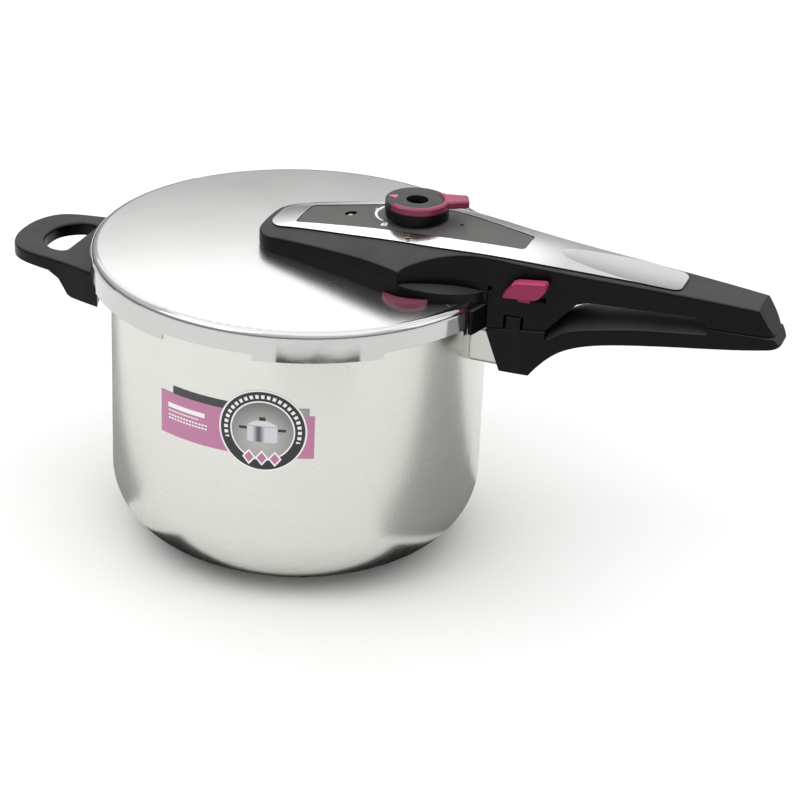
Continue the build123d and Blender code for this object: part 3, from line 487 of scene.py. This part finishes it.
@dataclass(frozen=True)
class InlayPlate:
    """The warm dark plate on the handle, with the knob's printed scale.

    Attributes:
        name: the finish's name.
        arc_middle: middle of the printed scale's circle, in millimetres.
        arc_radius: its radius.
        arc_from: direction where the scale starts, in degrees.
        arc_to: direction where it ends.
        wide: half the scale's width at its broad end.
        narrow: half its width at its fine end.
        padlock_middle: place of the closed padlock, in millimetres.
        steam_middle: place of the rising wisps.
    """

    name: str
    arc_middle: tuple[float, float] = (64.0, 7.3)
    arc_radius: float = 20.0
    arc_from: float = 156.0
    arc_to: float = 237.0
    wide: float = 1.15
    narrow: float = 0.45
    padlock_middle: tuple[float, float] = (55.7, -14.0)
    steam_middle: tuple[float, float] = (43.8, 9.0)

    def material(self) -> bpy.types.Material:
        """Builds the finish."""
        paint = Paint(self.name)
        x, y, _ = paint.axes()
        east, north = x - self.arc_middle[0], y - self.arc_middle[1]
        radius = paint.math("SQRT", east * east + north * north)
        turn = paint.math("ARCTAN2", 0.0 - north, 0.0 - east) * (180.0 / math.pi) + 180.0
        share = (turn - self.arc_from) / (self.arc_to - self.arc_from)
        width = self.wide - share * (self.wide - self.narrow)
        arc = (width - abs(radius - self.arc_radius)).above(0.0, 0.12)
        arc = arc & turn.between(self.arc_from, self.arc_to, 0.4)
        printed = arc | self.padlock(paint, x, y) | self.steam(paint, x, y)
        cloud = paint.noise(paint.place(), 30.0, 4.0)
        grain = paint.noise(paint.place(), 3000.0)
        plate = paint.mix(cloud, (0.066, 0.065, 0.062), (0.086, 0.084, 0.080))
        # Faces that don't point up are painted nearly black: painted shade on the plate's sides.
        side = paint.facing_up().below(0.5, 0.3)
        dark = paint.mix(side, plate, (0.004, 0.004, 0.004))
        return paint.surface(
            Base_Color=paint.mix(printed, dark, (0.86, 0.86, 0.86)),
            Roughness=0.42 + cloud * 0.10,
            Normal=paint.relief(grain, 0.012, 0.2),
            Specular_IOR_Level=0.45,
        )

    def padlock(self, paint: Paint, x: Signal, y: Signal) -> Signal:
        """The closed padlock at the scale's fine end."""
        east, north = x - self.padlock_middle[0], y - self.padlock_middle[1]
        body = abs(east).below(1.9) & north.between(-1.6, 1.1)
        loop = paint.math("SQRT", east * east + (north - 1.1) * (north - 1.1))
        hoop = loop.between(0.9, 1.5) & north.above(1.1)
        hole = paint.math("SQRT", east * east + north * north).above(0.5)
        return (body & hole) | hoop

    def steam(self, paint: Paint, x: Signal, y: Signal) -> Signal:
        """Three rising wisps at the scale's other end."""
        east, north = x - self.steam_middle[0], y - self.steam_middle[1]
        wave = paint.math("SINE", north * 2.4) * 0.35
        wisps = abs((east + wave).repeat(1.5)).below(0.3)
        return wisps & abs(east).below(2.2) & abs(north).below(1.8)


@dataclass(frozen=True)
class LabelPrint:
    """The label's print: a pink band, a dark bar, and a round badge with a plain pot on it.

    Attributes:
        name: the finish's name.
        angle: direction of the badge's middle, in degrees.
        middle_z: height of the badge's middle, in millimetres.
        ring: outer radius of the badge's dark ring.
        disc: radius of the pale disc inside it.
        pink: the band's colour.
        band_top: top of the band, above the badge's middle.
    """

    name: str
    angle: float = -78.0
    middle_z: float = 113.5
    ring: float = 24.2
    disc: float = 17.6
    pink: Colour = (0.46, 0.175, 0.31)
    band_top: float = 10.5

    def material(self) -> bpy.types.Material:
        """Builds the finish."""
        paint = Paint(self.name)
        x, y, z = paint.axes()
        wall_radius = paint.math("SQRT", x * x + y * y)
        turn = math.radians(self.angle)
        aside = y * math.cos(turn) - x * math.sin(turn)
        ahead = x * math.cos(turn) + y * math.sin(turn)
        u = paint.math("ARCTAN2", aside, ahead) * wall_radius
        v = z - self.middle_z
        out = paint.math("SQRT", u * u + v * v)
        cloud = paint.noise(paint.place(), 60.0)
        pink = paint.mix(cloud, self.pink, tuple(c * 1.12 for c in self.pink))
        above = v.above(self.band_top)
        bar = paint.mix(u.above(0.0), (0.030, 0.030, 0.032), (0.30, 0.30, 0.29))
        sheet = paint.mix(above, pink, bar)
        sheet = paint.mix(self.stripes(u, v), sheet, (0.88, 0.86, 0.87))
        rim = (0.85, 0.85, 0.84)
        sheet = paint.mix(out.below(self.ring + 1.0), sheet, rim)
        sheet = paint.mix(out.below(self.ring), sheet, (0.010, 0.010, 0.012))
        clock = paint.math("ARCTAN2", v, u) * (180.0 / math.pi)
        sheet = paint.mix(self.ticks(clock, out, v), sheet, rim)
        sheet = paint.mix(out.below(self.disc + 0.9), sheet, rim)
        shade = (out / self.disc) * 0.75 + v * 0.018
        ground = paint.mix(shade, (0.52, 0.51, 0.49), (0.16, 0.16, 0.155))
        sheet = paint.mix(out.below(self.disc), sheet, ground)
        sheet = self.pot_picture(paint, sheet, u, v)
        sheet = self.lozenges(paint, sheet, u, v)
        return paint.surface(
            Base_Color=sheet,
            Roughness=0.34 + cloud * 0.06,
            Specular_IOR_Level=0.45,
            Coat_Weight=0.25,
            Coat_Roughness=0.12,
        )

    def stripes(self, u: Signal, v: Signal) -> Signal:
        """Plain white stripes where a label would carry words."""
        broad = u.between(-60.0, -34.5) & v.between(1.2, 4.0, 0.15)
        fine = u.between(-60.0, -38.5) & v.between(-1.0, -0.4, 0.15)
        dashes = u.between(-60.0, -33.0) & abs(u.repeat(2.1)).below(0.75)
        rows = v.between(-3.9, -2.9, 0.15) | v.between(-6.0, -5.0, 0.15)
        return broad | fine | (dashes & rows)

    def ticks(self, clock: Signal, out: Signal, v: Signal) -> Signal:
        """Short marks round the upper part of the badge's ring."""
        row = out.between(self.disc + 2.4, self.ring - 2.0, 0.15)
        mark = abs(clock.repeat(9.0)).below(2.6, 0.5)
        return row & mark & v.above(-6.5)

    def pot_picture(self, paint: Paint, sheet: Socket, u: Signal, v: Signal) -> Socket:
        """A plain covered pot in the badge.

        Args:
            paint: the material.
            sheet: the print so far.
            u: distance along the wall from the badge's middle.
            v: height above it.

        Returns:
            The print with the pot on it.
        """
        steel = paint.mix(abs(u + 2.0).below(2.2, 3.0), (0.62, 0.63, 0.66), (0.10, 0.10, 0.12))
        corner = abs(u).below(8.6) & v.between(-7.0, 2.6)
        taper = (8.6 - abs(u)).above(0.0, 0.2) & (v + 12.6 - abs(u) * 0.75).above(0.0, 0.2)
        sheet = paint.mix(corner & taper, sheet, steel)
        dome = (u * u) / 22.0 + v
        lid = dome.below(6.6, 0.2) & v.above(3.1)
        sheet = paint.mix(lid & abs(u).below(9.2), sheet, (0.66, 0.68, 0.72))
        black = (0.012, 0.012, 0.014)
        handles = abs(u).between(8.8, 13.4) & v.between(0.2, 1.9)
        knob = abs(u).below(1.8) & v.between(6.3, 8.6)
        return paint.mix(handles | knob, sheet, black)

    def lozenges(self, paint: Paint, sheet: Socket, u: Signal, v: Signal) -> Socket:
        """Three pink lozenges with a pale rim, low in the badge; arguments as in pot_picture."""
        reach = abs(u.repeat(7.4)) + abs(v + 17.0) * 0.8
        row = abs(u).below(11.1)
        sheet = paint.mix(reach.below(3.9, 0.2) & row, sheet, (0.86, 0.85, 0.85))
        return paint.mix(reach.below(2.7, 0.2) & row, sheet, self.pink)


BLACK = MouldedPlastic("black_phenolic")
FINISHES: dict[str, object] = {
    "pot_shell": TurnedSteel("satin_steel"),
    "base_cover": TurnedSteel("base_steel", satin=0.34),
    "base_heat_disc": PlainMetal("heat_disc_aluminium", (0.62, 0.62, 0.63), 0.42),
    "lid_shell": TurnedSteel(
        "lid_steel", colour=(0.82, 0.82, 0.81), satin=0.26, polish_painted_shade=0.66, polish_radius=118.6
    ),
    "long_handle_bracket": PlainMetal("bracket_steel", (0.66, 0.65, 0.63), 0.30),
    "helper_bracket": PlainMetal("bracket_steel_helper", (0.66, 0.65, 0.63), 0.30),
    "long_handle_guard": PlainMetal("guard_steel", (0.56, 0.555, 0.53), 0.22),
    "helper_guard": PlainMetal("guard_steel_helper", (0.56, 0.555, 0.53), 0.22),
    "lid_bracket": PlainMetal("lid_strip_steel", (0.60, 0.59, 0.58), 0.36),
    "long_handle_screw": PlainMetal("screw_steel", (0.55, 0.54, 0.52), 0.30),
    "helper_screw": PlainMetal("screw_steel_helper", (0.55, 0.54, 0.52), 0.30),
    "lid_handle_screws": PlainMetal("screw_steel_lid", (0.55, 0.54, 0.52), 0.30),
    "latch_spring": PlainMetal("spring_steel", (0.50, 0.50, 0.52), 0.22),
    "poppet_spring": PlainMetal("spring_steel_valve", (0.50, 0.50, 0.52), 0.22),
    "valve_body": PlainMetal("valve_steel", (0.66, 0.64, 0.60), 0.20),
    "valve_nut": PlainMetal("nut_steel", (0.60, 0.58, 0.55), 0.26),
    "valve_poppet": PlainMetal("poppet_steel", (0.66, 0.66, 0.66), 0.16),
    "valve_retainer": PlainMetal("retainer_steel", (0.60, 0.58, 0.54), 0.26),
    "anti_clog_cap": PlainMetal("clog_cap_steel", (0.66, 0.65, 0.63), 0.24),
    "indicator_bush": PlainMetal("bush_steel", (0.60, 0.59, 0.56), 0.28),
    "indicator_pin": PlainMetal("pin_steel", (0.38, 0.37, 0.36), 0.26),
    "trim_rivet": PlainMetal("rivet_brass", (0.44, 0.38, 0.24), 0.34),
    "handle_trim": BrightTrim("bright_trim"),
    "handle_inlay": InlayPlate("grey_inlay"),
    "lid_handle_top": BLACK,
    "lid_handle_base": MouldedPlastic("black_phenolic_base", rough_side=0.34),
    "lower_long_handle": MouldedPlastic("black_phenolic_lower", rough_side=0.28),
    "helper_handle": MouldedPlastic("black_phenolic_helper", rough_side=0.28),
    "lock_housing": MouldedPlastic("black_nylon", rough_side=0.40),
    "knob_base": MouldedPlastic("black_knob", rough_side=0.24),
    "knob_cap": MouldedPlastic(
        "knob_cap_plastic", (0.008, 0.008, 0.009), (0.034, 0.034, 0.034), 0.34, 0.48, 0.015, 0.4, 0.35
    ),
    "knob_lever_ring": MouldedPlastic(
        "plum_plastic", (0.16, 0.008, 0.040), (0.27, 0.034, 0.080), 0.26, 0.34, 0.006, 0.5, 0.5
    ),
    "lock_button": MouldedPlastic(
        "plum_button", (0.25, 0.010, 0.062), (0.36, 0.035, 0.115), 0.30, 0.36, 0.006, 0.7, 0.35
    ),
    "latch_bolt": MouldedPlastic("latch_nylon", (0.05, 0.05, 0.05), (0.06, 0.06, 0.06), 0.4, 0.4),
    "lid_gasket": SoftRubber("plum_silicone", (0.16, 0.03, 0.06)),
    "safety_plug": SoftRubber("plug_silicone", (0.15, 0.025, 0.05), 0.42),
    "valve_gasket": SoftRubber("black_rubber", (0.02, 0.02, 0.02)),
    "indicator_seal": SoftRubber("seal_rubber", (0.03, 0.012, 0.016)),
    "front_label": LabelPrint("label_print"),
}


def dress_frame() -> None:
    """Gives every node of the frame its finish."""
    for name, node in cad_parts.items():
        made = FINISHES[name].material()
        for slot in node.material_slots:
            slot.material = made
        log.info("dressed %s in %s", name, made.name)


# ---- Small pieces ------------------------------------------------------------------------------------------


def finish_piece(piece: bpy.types.Object, name: str, body: Body, finish: object) -> None:
    """Puts one modelled piece into the object.

    Args:
        piece: the mesh object, already in its place.
        name: the piece's name.
        body: the body that it rides on.
        finish: the finish that it wears.
    """
    bpy.ops.object.select_all(action="DESELECT")
    bpy.context.view_layer.objects.active = piece
    piece.select_set(True)
    bpy.ops.object.transform_apply(location=True, rotation=True, scale=True)
    for modifier in list(piece.modifiers):
        bpy.ops.object.modifier_apply(modifier=modifier.name)
    bpy.ops.object.shade_smooth_by_angle(angle=math.radians(40.0))
    piece.name = name
    piece.data.materials.append(finish.material())
    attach(piece, body.value)
    log.info("modelled %s: %d faces on %s", name, len(piece.data.polygons), body.value)


def rounded(piece: bpy.types.Object, width: float, segments: int = 3) -> None:
    """Rounds a piece's edges by a bevel, width in millimetres."""
    bevel = piece.modifiers.new("rounding", "BEVEL")
    bevel.width = width * MM
    bevel.segments = segments


PRISM_HALF = 0.866  # half the width of a three-sided prism of radius 1
PRISM_LENGTH = 1.5  # its height from the flat side to the tip


def triangle_scale(half: float, length: float, thick: float) -> tuple[float, float, float]:
    """The scale that turns a three-sided prism of radius 1 into a flat arrowhead.

    Args:
        half: half the arrowhead's width, in millimetres.
        length: its length.
        thick: its thickness.

    Returns:
        The scale along each axis.
    """
    return half / PRISM_HALF * MM, length / PRISM_LENGTH * MM, thick * MM


@dataclass
class KnobPointer:
    """The raised coloured pointer on the knob's cap.

    Attributes:
        angle: its direction from the knob's axis, in degrees.
        reach: distance of its tip from the axis, in millimetres.
        length: its length.
        half: half its width at the broad end.
        rise: how far it stands above the cap.
    """

    angle: float = 187.0
    reach: float = 17.4
    length: float = 5.6
    half: float = 2.5
    rise: float = 0.35

    def build(self) -> None:
        """Builds the pointer from a triangle that is drawn out, bevelled and set on the cap."""
        low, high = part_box("valve_body")
        axis = Vector(((low.x + high.x) / 2, 0.0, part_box("knob_cap")[1].z))
        bpy.ops.object.select_all(action="DESELECT")
        bpy.ops.mesh.primitive_cylinder_add(vertices=3, radius=1.0, depth=1.0)
        piece = bpy.context.object
        turn = math.radians(self.angle)
        centre = (self.reach - self.length * 2 / 3) * MM
        piece.location = axis + Vector((math.cos(turn), math.sin(turn), 0.0)) * centre
        piece.rotation_euler = (0.0, 0.0, turn - math.radians(90.0))
        piece.scale = triangle_scale(self.half, self.length, self.rise + 0.1)
        rounded(piece, 0.12)
        finish_piece(piece, "knob_pointer", Body.KNOB, POINTER)


@dataclass
class LidMark:
    """The small grey alignment mark on the lid, beside the handle.

    Attributes:
        tip: its point, in millimetres.
        root: the middle of its broad end.
        half: half its width at the broad end.
        rise: how far it stands above the dome.
        fall: how much lower the dome's edge is than its crown.
    """

    tip: tuple[float, float] = (108.3, -45.2)
    root: tuple[float, float] = (100.6, -40.2)
    half: float = 1.5
    rise: float = 0.12
    fall: float = 5.2

    def build(self) -> None:
        """Builds the mark as a thin plate that follows the dome's slope."""
        tip, root = Vector((*self.tip, 0.0)), Vector((*self.root, 0.0))
        along = (tip - root).normalized()
        middle = root + (tip - root) / 3
        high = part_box("lid_shell")[1]
        share = middle.length * MM / high.x
        height = high.z - self.fall * MM * share**2
        slope = math.atan(2 * self.fall * MM * share / high.x)
        bpy.ops.object.select_all(action="DESELECT")
        bpy.ops.mesh.primitive_cylinder_add(vertices=3, radius=1.0, depth=1.0)
        piece = bpy.context.object
        size = triangle_scale(self.half, (tip - root).length, self.rise * 2 + 0.2)
        outward = math.atan2(middle.y, middle.x)
        heading = Matrix.Rotation(math.atan2(along.y, along.x) - math.radians(90.0), 4, "Z")
        lean = Matrix.Rotation(slope, 4, Vector((-math.sin(outward), math.cos(outward), 0.0)))
        place = Matrix.Translation((middle.x * MM, middle.y * MM, height))
        piece.matrix_world = place @ lean @ heading @ Matrix.Diagonal((*size, 1.0))
        rounded(piece, 0.08, 2)
        finish_piece(piece, "lid_mark", Body.LID, MARK)


@dataclass
class DomedHead:
    """A round head with a rolled edge and a sunk middle, standing on a flat node.

    Attributes:
        name: the piece's name.
        node: the CAD node whose top it stands on.
        body: the body that it rides on.
        slot: the name of a material slot; it is not used.
        radius: its radius, in millimetres.
        height: how far it stands above the node's top.
        hollow: depth of the sunk middle.
    """

    name: str
    node: str
    body: Body
    slot: str
    radius: float
    height: float
    hollow: float

    def build(self, finish: object) -> None:
        """Builds the head from a disc by extruding and insetting its top face."""
        low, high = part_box(self.node)
        middle = (low + high) / 2
        bpy.ops.object.select_all(action="DESELECT")
        bpy.ops.mesh.primitive_circle_add(vertices=48, radius=self.radius * MM, fill_type="NGON")
        piece = bpy.context.object
        piece.location = (middle.x, middle.y, high.z - 0.02 * MM)
        bpy.ops.object.mode_set(mode="EDIT")
        bpy.ops.mesh.select_all(action="SELECT")
        steps = [(0.5, 0.0), (0.35, 0.12), (0.15, 0.22)]
        for rise, draw in steps:
            shift = (0.0, 0.0, rise * self.height * MM)
            bpy.ops.mesh.extrude_region_move(TRANSFORM_OT_translate={"value": shift})
            if draw:
                narrow = 1.0 - draw
                bpy.ops.transform.resize(value=(narrow, narrow, 1.0), center_override=piece.location)
        bpy.ops.mesh.inset(thickness=self.radius * 0.16 * MM, depth=0.0)
        bpy.ops.mesh.inset(thickness=self.radius * 0.08 * MM, depth=-self.hollow * MM)
        bpy.ops.mesh.select_all(action="SELECT")
        bpy.ops.mesh.normals_make_consistent(inside=False)
        bpy.ops.object.mode_set(mode="OBJECT")
        rounded(piece, 0.08)
        finish_piece(piece, self.name, self.body, finish)


POINTER = MouldedPlastic("pointer_plastic", (0.40, 0.08, 0.15), (0.55, 0.14, 0.24), 0.3, 0.4, 0.004, 0.1, 0.4)
MARK = PlainMetal("etched_mark", (0.20, 0.20, 0.20), 0.5)


def add_pieces() -> None:
    """Builds every small piece."""
    KnobPointer().build()
    LidMark().build()
    rivet = DomedHead("rivet_head", "trim_rivet", Body.LID, "rivet_brass", 1.9, 0.35, 0.12)
    rivet.build(PlainMetal("rivet_head_brass", (0.46, 0.40, 0.27), 0.28))
    pin = DomedHead("indicator_cap", "indicator_pin", Body.INDICATOR, "valve_steel", 2.1, 0.6, 0.25)
    pin.build(PlainMetal("indicator_cap_steel", (0.52, 0.51, 0.49), 0.22))


# ---- Studio ---------------------------------------------------------------------------------------------


@dataclass(frozen=True)
class SoftBox:
    """One soft light aimed at the object.

    Attributes:
        name: the light's name.
        azimuth: where it stands, in degrees; 0 is towards -Y and 90 towards +X.
        elevation: its height above the horizon, in degrees.
        distance: how far it is from the object, in metres.
        size: its width and height, in metres.
        power: its power, in watts.
    """

    name: str
    azimuth: float
    elevation: float
    distance: float
    size: tuple[float, float]
    power: float


@dataclass(frozen=True)
class Flag:
    """A dark card outside the view that only the steel's reflections show.

    Attributes:
        name: the card's name.
        middle: where its middle is, in metres.
        turn: its turn about the vertical, in degrees.
        size: its two sides, in metres.
        shade: how light its cloth is, from 0 to 1.
    """

    name: str
    middle: tuple[float, float, float]
    turn: float
    size: tuple[float, float]
    shade: float = 0.02


def away(azimuth: float, elevation: float) -> Vector:
    """The direction from the object to a place round it, from two angles in degrees."""
    a, e = math.radians(azimuth), math.radians(elevation)
    return Vector((math.sin(a) * math.cos(e), -math.cos(a) * math.cos(e), math.sin(e)))


@dataclass
class Studio:
    """The pale floor, the soft lights and the camera.

    Attributes:
        azimuth: the camera's place round the object, in degrees.
        elevation: its height above the horizon, in degrees.
        roll: its turn about its own axis, in degrees.
        distance: from the camera to the point it looks at, in metres.
        lens: its focal length, in millimetres on a 36 mm sensor.
        aim: the point it looks at, from the middle of the base, in metres.
        floor_size: the floor's width, in metres.
    """

    azimuth: float = 19.32
    elevation: float = 26.73
    roll: float = 2.706
    distance: float = 1.4655
    lens: float = 110.13
    aim: tuple[float, float, float] = (0.0605, 0.0135, 0.085)
    floor_size: float = 24.0
    lights: list[SoftBox] = field(
        default_factory=lambda: [
            SoftBox("key_left", -40.0, 48.0, 1.7, (1.2, 0.9), 5.5),
            SoftBox("fill_right", 95.0, 34.0, 1.9, (0.8, 1.2), 2.4),
            SoftBox("overhead", 10.0, 86.0, 1.8, (2.4, 2.0), 12.0),
            SoftBox("back_high", 199.0, 43.0, 2.3, (2.8, 1.2), 7.5),
        ]
    )

    flags: list[Flag] = field(
        default_factory=lambda: [
            Flag("flag_front_left", (0.163, -0.419, 0.001), 21.4, (0.156, 0.024)),
            Flag("flag_front_right", (0.292, -0.340, 0.001), 42.0, (0.154, 0.024)),
            Flag("flag_floor_right", (0.300, 0.085, 0.001), 29.0, (0.42, 0.19), 0.36),
            Flag("flag_floor_left", (-0.250, 0.095, 0.001), 135.0, (0.42, 0.13), 0.34),
            # The card under the base is a painted shadow: the lower wall reflects its dark where the pot's
            # shade would be.
            Flag("flag_under", (0.0, 0.0, 0.0005), 19.0, (0.186, 0.186), 0.03),
        ]
    )

    def build(self) -> None:
        """Builds the whole studio."""
        self.floor()
        self.world()
        for light in self.lights:
            self.light(light)
        for flag in self.flags:
            self.flag(flag)
        self.camera()
        bpy.context.scene.view_settings.view_transform = "Standard"

    def floor(self) -> None:
        """A plain pale floor with a soft sweep of tone."""
        bpy.ops.mesh.primitive_plane_add(size=self.floor_size, location=(0, 0, -0.0002))
        plane = bpy.context.object
        plane.name = "studio_floor"
        paint = Paint("pale_floor")
        cloud = paint.noise(paint.place(), 3.0)
        tone = paint.mix(cloud, (0.90, 0.90, 0.895), (0.92, 0.92, 0.915))
        plane.data.materials.append(paint.surface(Base_Color=tone, Roughness=0.9, Specular_IOR_Level=0.1))

    def world(self) -> None:
        """A pale surround that is darker near the horizon, so that steel has something to reflect."""
        world = bpy.data.worlds.new("studio_surround")
        bpy.context.scene.world = world
        world.use_nodes = True
        tree = world.node_tree
        tree.nodes.clear()
        place = tree.nodes.new("ShaderNodeTexCoord")
        split = tree.nodes.new("ShaderNodeSeparateXYZ")
        ramp = tree.nodes.new("ShaderNodeValToRGB")
        ground = tree.nodes.new("ShaderNodeBackground")
        output = tree.nodes.new("ShaderNodeOutputWorld")
        levels = [(0.0, 0.16), (0.16, 0.34), (0.45, 0.80), (0.62, 0.96), (0.90, 0.86)]
        fill_ramp(ramp.color_ramp, [(height, (level, level, level)) for height, level in levels])
        tree.links.new(place.outputs["Generated"], split.inputs[0])
        tree.links.new(split.outputs[2], ramp.inputs[0])
        tree.links.new(ramp.outputs[0], ground.inputs["Color"])
        tree.links.new(ground.outputs[0], output.inputs["Surface"])

    def light(self, box: SoftBox) -> None:
        """Adds one soft light."""
        bpy.ops.object.light_add(type="AREA")
        lamp = bpy.context.object
        lamp.name = box.name
        lamp.data.shape = "RECTANGLE"
        lamp.data.size, lamp.data.size_y = box.size
        lamp.data.energy = box.power
        back = away(box.azimuth, box.elevation)
        lamp.location = Vector(self.aim) + back * box.distance
        lamp.rotation_mode = "QUATERNION"
        lamp.rotation_quaternion = back.to_track_quat("Z", "Y")

    def flag(self, card: Flag) -> None:
        """Adds one dark card that the camera can't see and that throws no shadow."""
        turned = (0.0, 0.0, math.radians(card.turn))
        bpy.ops.mesh.primitive_plane_add(size=1.0, location=card.middle, rotation=turned)
        plane = bpy.context.object
        plane.name = card.name
        plane.scale = (card.size[0], card.size[1], 1.0)
        paint = Paint(card.name)
        weave = paint.noise(paint.place(), 300.0)
        felt = paint.mix(weave, (card.shade * 0.8,) * 3, (card.shade * 1.2,) * 3)
        plane.data.materials.append(paint.surface(Base_Color=felt, Roughness=0.95, Specular_IOR_Level=0.0))
        plane.visible_camera = False
        plane.visible_shadow = False
        plane.visible_diffuse = False

    def camera(self) -> None:
        """Adds the camera."""
        bpy.ops.object.camera_add()
        camera = bpy.context.object
        camera.data.sensor_width = 36.0
        camera.data.lens = self.lens
        back = away(self.azimuth, self.elevation)
        level = Vector((0, 0, 1)).cross(back).normalized()
        upright = back.cross(level)
        tilt = math.radians(self.roll)
        right = level * math.cos(tilt) + upright * math.sin(tilt)
        turn = Matrix((right, back.cross(right), back)).transposed()
        camera.rotation_mode = "QUATERNION"
        camera.rotation_quaternion = turn.to_quaternion()
        camera.location = Vector(self.aim) + back * self.distance
        camera.data.clip_start = 0.05
        bpy.context.scene.camera = camera


def main() -> None:
    """Builds the looks in order."""
    logging.basicConfig(level=logging.INFO, format="%(message)s")
    Studio().build()
    dress_frame()
    add_pieces()


if __name__ == "__main__":
    main()
